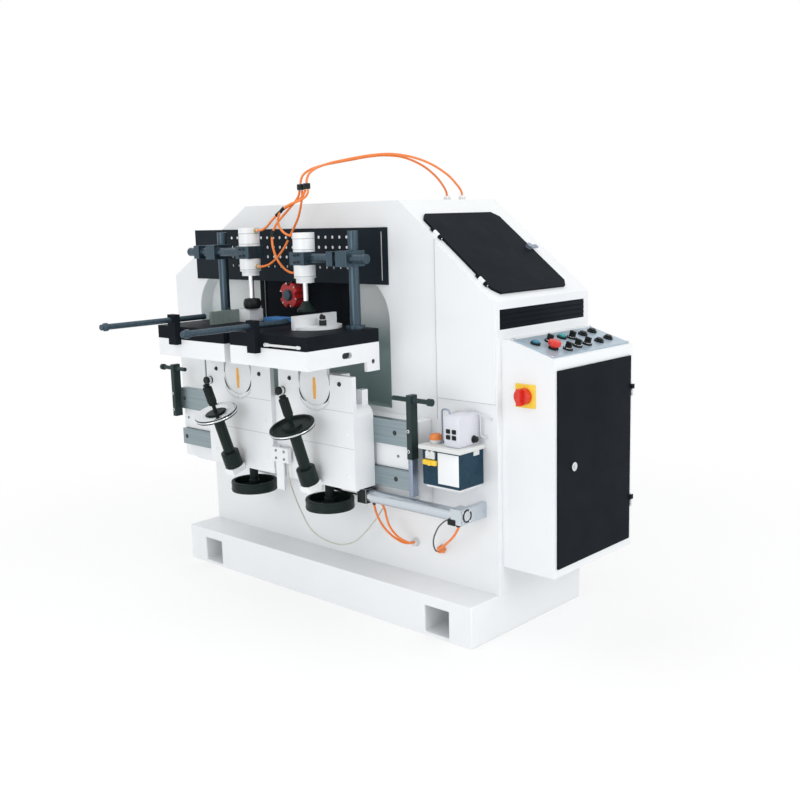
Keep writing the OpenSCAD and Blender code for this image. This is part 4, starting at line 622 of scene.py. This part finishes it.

# Slide: counterbored bolts, web screws, end face, stop bar, screws and nuts of the end stops
RAIL_BOLTS = [-780 + 193.7 * k for k in range(7)]
b = Build()
for x in RAIL_BOLTS:
    for z in (647, 491):
        b.lathe((x, -261, z), TO_FRONT, [(8.5, 0), (8.5, 1.5), (7.6, 2)], 20)
b.done("rail_bolts", "frame", "dark_and_shade")
b = Build()
for x in RAIL_BOLTS:
    b.socket((x, -247, 566), TO_FRONT, 5, 3)
b.done("web_screws", "frame", "steel")
b = Build().box((462, -234, 400), (463.6, -171, 688), 0.5)
for z0, z1 in ((460, 522), (606, 689)):
    b.box((462, -261.5, z0), (463.2, -235, z1), 0.4)
b.done("slide_end", "frame", "white")
b = Build().box((462.6, -287, 449), (480.5, -258.5, 575), 1.5)
b.done("stop_bar", "frame", "blue_steel")
b = Build()
for x in (-815, 472):
    for z in (602, 668):
        b.socket((x, -290.2, z), TO_FRONT, 6, 5)
b.done("post_screws", "frame", "bright")
b = Build()
for x in (-805, 482):
    b.hexagon((x, -274, 768), TO_RIGHT, 11, 7)
b.done("stop_nuts", "frame", "post")

# Feed cylinder: black front head, ports, end ring, tie-rod nuts
CYLINDER_END = (690, -268, 421)
b = Build().box((234.7, -300.3, 394.7), (277.3, -249.7, 445.3), 2)
b.done("cylinder_front_head", "frame", "plastic")
b = Build()
for x, y, r in ((270, -254, 6.4), (660, -275, 9)):
    b.lathe((x, y, 395.2), TO_FLOOR, [(r, 0), (r, 7), (r - 1, 8), (r - 1, 12), (r - 2, 13)], 20)
b.lathe((648.2, -254, 400), TO_LEFT, [(4.8, 0), (4.8, 5), (3.8, 7), (3.6, 11)], 16)
b.lathe((276.8, -254, 399.2), TO_RIGHT, [(6.4, 0), (6.4, 5), (5.4, 6), (5, 9)], 20)
b.box((637, -303.5, 391), (668, -266, 411), 3)
b.done("cylinder_ports", "frame", "plastic")
b = Build().ring(CYLINDER_END, TO_RIGHT, 19, 2.6)
b.done("cylinder_end_ring", "frame", "plastic")
b = Build()
for y in (-292, -258):
    for z in (403, 437):
        b.hexagon((CYLINDER_END[0], y, z), TO_RIGHT, 4.5, 4)
b.lathe(CYLINDER_END, TO_RIGHT, [(15, 0), (15, 1.2), (13, 1.6)], 28)
b.done("cylinder_end_nuts", "frame", "bright")

# Lubricator: pump, filler, tap, latches, plate, sockets, flange, pipes
FILLER_X, FILLER_Y, FILLER_R, FILLER_RIBS = 553, -252, 20, 12
TANK_FRONT = -290
SIGHT_TUBE = [(570, -240, 634), (570, -240, 690), (570, -240, 728), (572, -240, 741), (584, -240, 745),
              (598, -240, 743), (602, -240, 736), (602, -240, 724)]
OIL_PIPES = ([(548, -171, 700), (552, -182, 716), (580, -186, 729), (626, -186, 737), (672, -186, 732),
              (706, -182, 720), (714, -171, 716)],
             [(681, -186, 731), (682, -186, 700), (682, -186, 668), (686, -182, 659), (697, -171, 657)])
b = Build().box((609, -280, 634.2), (672, -176, 735), 7)
b.done("lubricator_motor", "frame", "lilac", replaces=("lubricator_pump",))
b = Build().lathe((FILLER_X, FILLER_Y, 634.2), TO_TOP, [(15, 0), (15, 4), (19, 5), (19, 12)], 28)
b.done("filler_neck", "frame", "pale", replaces=("lubricator_pump",))
b = Build().lathe((FILLER_X, FILLER_Y, 646), TO_TOP,
                  [(19, 0), (FILLER_R, 2), (FILLER_R, 9), (18, 15), (13, 19), (6, 20)], 28)
for k in range(FILLER_RIBS):
    a = TAU * k / FILLER_RIBS
    x, y = FILLER_X + FILLER_R * math.cos(a), FILLER_Y + FILLER_R * math.sin(a)
    b.rod((x, y, 648), (x, y, 656), 1.3, 8)
b.done("filler_cap", "frame", "orange_cap", replaces=("lubricator_pump",))
b = Build().rod((568, TANK_FRONT, 580), (568, -308, 580), 8, 24, 1.5)
b.box((537, -302, 572), (591, TANK_FRONT - 0.4, 589), 3)
b.done("tap_bar", "frame", "yellow", replaces=("lubricator_pump",))
b = Build().box((547, -299, 592), (584, TANK_FRONT - 0.2, 616), 2.5)
for x in (553, 571):
    b.box((x, -301, 597), (x + 7, TANK_FRONT - 0.2, 620), 1.5)
b.box((681, -224, 604), (685, -196, 634), 1.5)
b.done("tank_latches", "frame", "pale")
b = Build().box((593, TANK_FRONT - 1.4, 515), (678, TANK_FRONT, 615), 0.5)
b.done("tank_plate", "frame", "white")
b = Build()
for x in (629, 653):
    for z in (686, 667):
        b.box((x - 8, -283, z - 7), (x + 8, -279.5, z + 7), 1.5)
        b.lathe((x, -283, z), TO_FRONT, [(5, 0), (5, 1.5), (3.5, 1.5), (3, 0.5)], 16)
b.lathe((672, -208, 654), TO_RIGHT, [(12, 0), (12, 3), (10, 4), (10, 12), (8, 14)], 24)
b.done("pump_sockets", "frame", "plastic")
lo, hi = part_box("lubricator_tank")
b = Build().box((lo.x / MM - 0.4, lo.y / MM - 0.4, 620), (hi.x / MM + 0.4, -170, 634.4), 3)
b.done("tank_flange", "frame", "pale")
b = Build().sweep(smooth(SIGHT_TUBE, PIPE_STEPS), 3)
b.rod(SIGHT_TUBE[0], (570, -240, 642), 6, 16)
b.done("sight_tube", "frame", "blue_steel")
b = Build()
for route in OIL_PIPES:
    b.sweep(smooth(route, PIPE_STEPS), 2)
for x, z in ((548, 700), (714, 716), (697, 657)):
    b.hexagon((x, -175, z), TO_REAR, 6, 5)
b.done("oil_pipes", "frame", "pale")

# Cabinet: switch plate; collars, bezels, mushroom cap and screws on the sloping panel
PANEL_X, PANEL_Z, PANEL_T = 770, 966, 4
PANEL_A = math.radians(16.54)
PANEL_UP = (math.sin(PANEL_A), 0, math.cos(PANEL_A))
PUSHES = [(62, -98), (52, 58), (56, 172), (48, 238), (120, 172), (112, 238)]
SELECTS = [(62, -24), (66, 94), (132, -22), (124, 42), (123, 98)]
MUSHROOM, MUSHROOM_TOP = (112, -72), 29.8


def on_panel(s, y, h=PANEL_T):
    """The place s down the panel's slope, at y along it and h above its underside."""
    return Vector((PANEL_X + s * math.cos(PANEL_A) + h * math.sin(PANEL_A), y,
                   PANEL_Z - s * math.sin(PANEL_A) + h * math.cos(PANEL_A)))


b = Build().box((795.6, -156.4, 762.6), (868.4, -149.5, 835.4), 1.5)
b.done("switch_plate", "frame", "yellow")
b = Build()
for s, y in PUSHES + SELECTS + [MUSHROOM]:
    b.turned(on_panel(s, y), PANEL_UP, [(11.6, 0.2), (16, 0.2), (16, 5.5), (15, 6.4), (11.6, 6.4)], 32)
b.done("operator_collars", "frame", "plastic")
b = Build()
for s, y in SELECTS:
    b.turned(on_panel(s, y), PANEL_UP, [(11.4, 6.3), (13.4, 6.3), (13.2, 7.4), (11.6, 7.4)], 32)
b.done("operator_bezels", "frame", "bright")
b = Build().dome(on_panel(*MUSHROOM, MUSHROOM_TOP), PANEL_UP, 18.4, 3.4, 40)
b.done("mushroom_cap", BODY["mushroom"], "red_cap")
b = Build()
for s in (8, 158):
    for y in (-138, 288):
        b.socket(on_panel(s, y), PANEL_UP, 4.5, 2.6)
b.done("panel_screws", "frame", "bright")

# Carriage and stations
STATION = {"left": -310, "right": 102}
KNEE_FRONT, PIVOT_Z = -356, 800
SCALE_FIRST, SCALE_SPAN, SCALE_STEPS, SCALE_LONG, SCALE_R = -142, 104, 22, 11, 95
SLOT_RING = (74.6, 77.9)
SLOT_STEPS, SHADE_ARC_STEPS = 24, 12
# Inner radius and swell of the dark arcs painted as the shade of the slot gap.
SHADE_ARC_R, SHADE_ARC_RISE = 78.3, 6.5
TILT_AXIS = Vector((0, -0.3173, 0.9483))
WHEEL_R, GRIP_RIBS, GRIP_R = 77, 14, 15
LIFT_Y, LIFT_R = -303, 84.6
CLAMP_Y, FOOT_Z = -320, 1036
POST_SCREW_Y = -303
ARM_Z = {"left": 1236, "right": 1217}
FENCE_X = {"left": -8, "right": -10}
FOOT = {
    "left": [(24, 0)] + [(math.sqrt(32 ** 2 - (h - 18) ** 2), h) for h in (1, 4, 8, 12, 18, 24, 28, 32, 35)]
    + [(24, 36), (12, 37), (11, 38)],
    "right": [(30, 0), (32, 2), (32, 9), (29, 13), (23, 19), (17, 26), (13.5, 32), (12, 37), (11, 38)]}
FOOT_FINISH = {"left": "plastic", "right": "wheel"}
UPRIGHT = (TO_RIGHT, TO_TOP, TO_FRONT)
b = Build()
for x in (-82, -40):
    for z in (521, 548):
        b.socket((x, -382, z), TO_FRONT, 4.6, 3)
b.done("sensor_screws", "carriage", "steel")
for side in SIDES:
    c = STATION[side]
    sign = SIGN[side]
    knee = "knee_" + side
    b = Build()
    for x in (c - 124, c + 124):
        b.bolt((x, KNEE_FRONT, 808), TO_FRONT, 6, 6)
    b.done("knee_bolts_" + side, knee, "dark_and_shade")
    b = Build()
    for z in (640, 500):
        for x in (c - 150, c + 150):
            b.dome((x, KNEE_FRONT + 0.4, z), TO_FRONT, 6, 3)
    b.done("knee_screws_" + side, knee, "white")
    b = Build()
    for x, z in ((c - 184, 594), (c + 40, 716)):
        b.box((x, KNEE_FRONT - 0.5, z), (c + 184, KNEE_FRONT + 0.5, z + 1.2), SEAM_EDGE)
    for k in range(SCALE_STEPS + 1):
        a = math.radians(SCALE_FIRST + SCALE_SPAN * k / SCALE_STEPS)
        inner = 84 if k % SCALE_LONG == 0 else 88
        u = Vector((math.cos(a), 0, math.sin(a)))
        w = Vector((-math.sin(a), 0, math.cos(a)))
        turn = Matrix((u, Vector(TO_REAR), w)).transposed().to_4x4()
        b.box((inner, -0.9, -1.1), (SCALE_R, 0, 1.1), 0.2,
              Matrix.Translation((c, KNEE_FRONT + 0.4, PIVOT_Z)) @ turn)
    b.done("knee_marks_" + side, knee, "seam")
    b = Build()
    r0, r1 = SLOT_RING
    for k in range(SLOT_STEPS):
        a0, a1 = (math.radians(180 + 180 * q / SLOT_STEPS) for q in (k, k + 1))
        b.prism([(r * math.cos(a), r * math.sin(a)) for r, a in ((r0, a0), (r0, a1), (r1, a1), (r1, a0))],
                (c, KNEE_FRONT + 7, PIVOT_Z), *UPRIGHT, 6.8)
    b.done("slot_ring_" + side, knee, "white")
    # Dark arcs on the knee face beside the segment's slot: painted shade of the gap between segment and slot.
    b = Build()
    for first, last in ((193, 238), (302, 347)):
        inner, outer = [], []
        for k in range(SHADE_ARC_STEPS + 1):
            a = math.radians(first + (last - first) * (k / SHADE_ARC_STEPS))
            r = SHADE_ARC_R + SHADE_ARC_RISE * math.sin(math.pi * (k / SHADE_ARC_STEPS))
            inner.append(((SHADE_ARC_R - 0.2) * math.cos(a), (SHADE_ARC_R - 0.2) * math.sin(a)))
            outer.append((r * math.cos(a), r * math.sin(a)))
        for k in range(SHADE_ARC_STEPS):
            b.prism([inner[k], inner[k + 1], outer[k + 1], outer[k]],
                    (c, KNEE_FRONT + 0.6, PIVOT_Z), *UPRIGHT, 1.1)
    b.done("gap_shade_arcs_" + side, knee, "dark_and_shade")
    b = Build().lathe((c - 162, KNEE_FRONT, 762), TO_FRONT,
                      [(14, 0), (14, 4), (12, 5), (12, 14), (14.5, 15), (14.5, 24), (12, 26)], 24)
    b.done("lock_knob_" + side, knee, "plastic")
    b = Build().prism([(-4.5, -30), (4.5, -30), (8, 8), (5, 44), (-5, 44), (-8, 8)],
                      (c, KNEE_FRONT + 1.5, 776), *UPRIGHT, 1.6, 0.6)
    b.done("tilt_pointer_" + side, "table_" + side, "gold")

    # Wheels: bright rim, ribbed grip and sleeve on the leaning shaft, rings on the lift wheel
    base = Vector((c, -392, 462))
    wheel = "tilt_wheel_" + side
    b = Build().ring(base + TILT_AXIS * 216, TILT_AXIS, WHEEL_R, 3.2, 56)
    if side == "left":
        b.turned(base, TILT_AXIS, [(40, 220), (72, 225), (WHEEL_R, 224.6), (WHEEL_R, 223), (40, 217)], 56)
    b.done("wheel_rim_" + side, wheel, "bright")
    b = Build()
    u, v, w = basis(TILT_AXIS)
    for k in range(GRIP_RIBS):
        a = TAU * k / GRIP_RIBS
        d = (u * math.cos(a) + v * math.sin(a)) * GRIP_R
        b.rod(base + w * 262 + d, base + w * 322 + d, 1.5, 8)
    b.lathe(base + TILT_AXIS * 330, TILT_AXIS, [(13, 0), (11, 3), (6, 5)], 24)
    b.done("grip_ribs_" + side, wheel, "plastic")
    b = Build().turned(base, TILT_AXIS, [(14.1, 60), (20, 60), (20, 188), (23, 190), (23, 203), (21, 205),
                                         (14.1, 205)], 32)
    b.done("wheel_sleeve_" + side, wheel, "wheel")
    b = Build()
    for z in (362, 384):
        b.ring((c, LIFT_Y, z), TO_TOP, LIFT_R, 1.6, 56)
    b.lathe((c, LIFT_Y, 350.5), TO_TOP, [(14, 0), (16, 2), (16, 3.6)], 24)
    b.done("lift_wheel_rings_" + side, "lift_wheel_" + side, "wheel")

    # Clamp: rod and foot of the ram, hose ports, bands, screws
    table = "table_" + side
    cx = c - sign * 62
    arm = ARM_Z[side]
    ram = "clamp_ram_" + side
    b = Build().rod((cx, CLAMP_Y, FOOT_Z + 35), (cx, CLAMP_Y, arm + 8), 9, 28)
    b.done("ram_rod_" + side, ram, "bright", replaces=(ram,))
    b = Build().lathe((cx, CLAMP_Y, FOOT_Z), TO_TOP, FOOT[side], 40)
    b.done("ram_foot_" + side, ram, FOOT_FINISH[side], replaces=(ram,))
    b = Build()
    for z in (arm - 50, arm + 76):
        b.hexagon((cx - sign * 39, CLAMP_Y, z), (-sign, 0, 0), 9.5, 9)
    b.done("clamp_ports_" + side, table, "brass")
    b = Build()
    for z in (arm - 60, arm + 30, arm + 66):
        b.ring((cx, CLAMP_Y, z), TO_TOP, 37, 1.0, 40, 8)
    b.done("cylinder_bands_" + side, table, "seam")
    b = Build().socket((c + sign * 139, POST_SCREW_Y, arm), TO_FRONT, 6, 22)
    for z in (arm + 12, arm - 12):
        b.socket((cx, -362, z), TO_FRONT, 5, 5)
    b.done("clamp_screws_" + side, table, "dark_and_shade")

    # Table: a dark sheet at the back of the apron's slot as painted shade, plug in its lug, fence lever
    wall = c + sign * 190
    slot = sorted((wall - sign * 17, wall - sign * 14.1))
    b = Build().box((slot[0], -402, 899), (slot[1], -356, 921), 0.6)
    b.done("slot_shade_sheet_" + side, table, "dark_and_shade")
    b = Build().lathe((wall - sign * 13.5, -259, 879), (sign, 0, 0), [(7.9, 0), (7.9, 9), (7.4, 10)], 24)
    b.done("lug_plug_" + side, table, "dark_and_shade")
    hub = Vector((c + FENCE_X[side] + sign * 40, -332, 996))
    b = Build().lathe(hub, TO_TOP, [(12.5, 0), (12.5, 16), (10, 20), (10, 30), (7, 33)], 24)
    b.rod(hub + Vector((0, 0, 24)), hub + Vector((24, -26, 34)), 4, 12)
    b.dome(hub + Vector((26, -28, 28)), TO_TOP, 8, 14)
    b.done("fence_lever_" + side, "fence_" + side, "plastic")
b = Build().box((-311.2, -332.3, 986.2), (-250.6, -269.6, 1032.5), 1.5)
b.done("fence_heel", "fence_left", "white")
b = Build().box((-225, -290, 986), (-125, -232, 1003), 2)
b.done("table_pad", "table_left", "blue_pad")
RULE_Y, RULE_Z = -559, 953
b = Build().rod((104, RULE_Y, RULE_Z), (264, RULE_Y, RULE_Z), 4, 20)
for x in (112, 256):
    b.rod((x, -554.2, RULE_Z), (x, -561, RULE_Z), 6, 20, 1.5)
b.dome((103, RULE_Y, RULE_Z), TO_LEFT, 7, 7)
b.dome((265, RULE_Y, RULE_Z), TO_RIGHT, 5.5, 6)
b.done("front_rule", "table_right", "pale")

# Cutter: nut and knives
CUTTER_X, CUTTER_Z = -212, 1075
KNIVES, FIRST_KNIFE = 6, 0.3
b = Build().lathe((CUTTER_X, -179.6, CUTTER_Z), TO_FRONT,
                  [(22, 0), (22, 2), (18.4, 2.4), (18.4, 10.4), (12, 11)], 32)
b.done("cutter_nut", "cutter_head", "post")
b = Build()
for k in range(KNIVES):
    spin = Matrix.Rotation(TAU * k / KNIVES + FIRST_KNIFE, 4, "Y")
    b.box((38, -180.5, -2), (47.5, -137, 1.5), 0.5, Matrix.Translation((CUTTER_X, 0, CUTTER_Z)) @ spin)
b.done("cutter_knives", "cutter_head", "bright")


# Stage and light
def seen_rays(tree):
    """1 for camera, glossy and transmission rays, which see pure white; 0 for rays that light the object."""
    rays = tree.nodes.new("ShaderNodeLightPath")
    value = rays.outputs["Is Camera Ray"]
    for kind in ("Is Glossy Ray", "Is Transmission Ray"):
        most = tree.nodes.new("ShaderNodeMath")
        most.operation = "MAXIMUM"
        tree.links.new(value, most.inputs[0])
        tree.links.new(rays.outputs[kind], most.inputs[1])
        value = most.outputs[0]
    return value


FLOOR_HALF = 40.0
FLOOR_COLOUR = (0.95, 0.955, 0.96, 1)
FLOOR_NEAR, FLOOR_FAR, FLOOR_WHITE = 1.1, 2.6, 0.62    # the ground fades to white between these distances
WORLD_LIGHT, WORLD_WHITE = 0.73, 1.0
floor_mesh = bpy.data.meshes.new("floor")
floor_mesh.from_pydata([(x * FLOOR_HALF, y * FLOOR_HALF, 0) for x, y in ((-1, -1), (1, -1), (1, 1), (-1, 1))],
                       [], [(0, 1, 2, 3)])
floor = bpy.data.objects.new("floor", floor_mesh)
bpy.context.scene.collection.objects.link(floor)
floor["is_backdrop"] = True
fm = bpy.data.materials.new("floor")
fm.use_nodes = True
ft = fm.node_tree
ft.nodes.clear()
out = ft.nodes.new("ShaderNodeOutputMaterial")
mixer = ft.nodes.new("ShaderNodeMixShader")
diff = ft.nodes.new("ShaderNodeBsdfDiffuse")
diff.inputs["Color"].default_value = FLOOR_COLOUR
glow = ft.nodes.new("ShaderNodeEmission")
seen = seen_rays(ft)
spot = ft.nodes.new("ShaderNodeTexCoord")
reach = ft.nodes.new("ShaderNodeVectorMath")
reach.operation = "LENGTH"
ft.links.new(spot.outputs["Object"], reach.inputs[0])
fade = ft.nodes.new("ShaderNodeMapRange")
fade.interpolation_type = "SMOOTHSTEP"
for socket, value in (("From Min", FLOOR_NEAR), ("From Max", FLOOR_FAR),
                      ("To Min", FLOOR_WHITE), ("To Max", 1.0)):
    fade.inputs[socket].default_value = value
ft.links.new(reach.outputs["Value"], fade.inputs["Value"])
share = ft.nodes.new("ShaderNodeMath")
share.operation = "MULTIPLY"
ft.links.new(seen, share.inputs[0])
ft.links.new(fade.outputs["Result"], share.inputs[1])
ft.links.new(share.outputs[0], mixer.inputs[0])
ft.links.new(diff.outputs[0], mixer.inputs[1])
ft.links.new(glow.outputs[0], mixer.inputs[2])
ft.links.new(mixer.outputs[0], out.inputs[0])
floor_mesh.materials.append(fm)

world = bpy.data.worlds.new("world")
bpy.context.scene.world = world
world.use_nodes = True
wt = world.node_tree
bg = wt.nodes["Background"]
bg.inputs["Color"].default_value = (1, 1, 1, 1)
strength = wt.nodes.new("ShaderNodeMapRange")
strength.inputs["To Min"].default_value = WORLD_LIGHT
strength.inputs["To Max"].default_value = WORLD_WHITE
wt.links.new(seen_rays(wt), strength.inputs["Value"])
wt.links.new(strength.outputs["Result"], bg.inputs["Strength"])


def lamp(name, place, aim, size, power):
    data = bpy.data.lights.new(name, "AREA")
    data.shape, data.size, data.energy = "SQUARE", size, power
    ob = bpy.data.objects.new(name, data)
    bpy.context.scene.collection.objects.link(ob)
    ob.location = place
    ob.visible_camera = False
    ob.rotation_euler = (Vector(aim) - Vector(place)).to_track_quat("-Z", "Y").to_euler()


lamp("key", (0.8, -4.6, 1.5), (0, 0, 0.75), 2.4, 25.0)
lamp("low", (0.1, -2.3, 0.62), (-0.1, -0.34, 0.42), 1.3, 5.3)
lamp("side", (4.4, -0.6, 2.6), (0.3, 0, 0.8), 2.2, 62.0)
lamp("top", (-1.0, -0.6, 5.0), (-0.2, 0, 1.0), 3.0, 50.0)

bpy.context.scene.view_settings.view_transform = "Standard"
lo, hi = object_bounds()
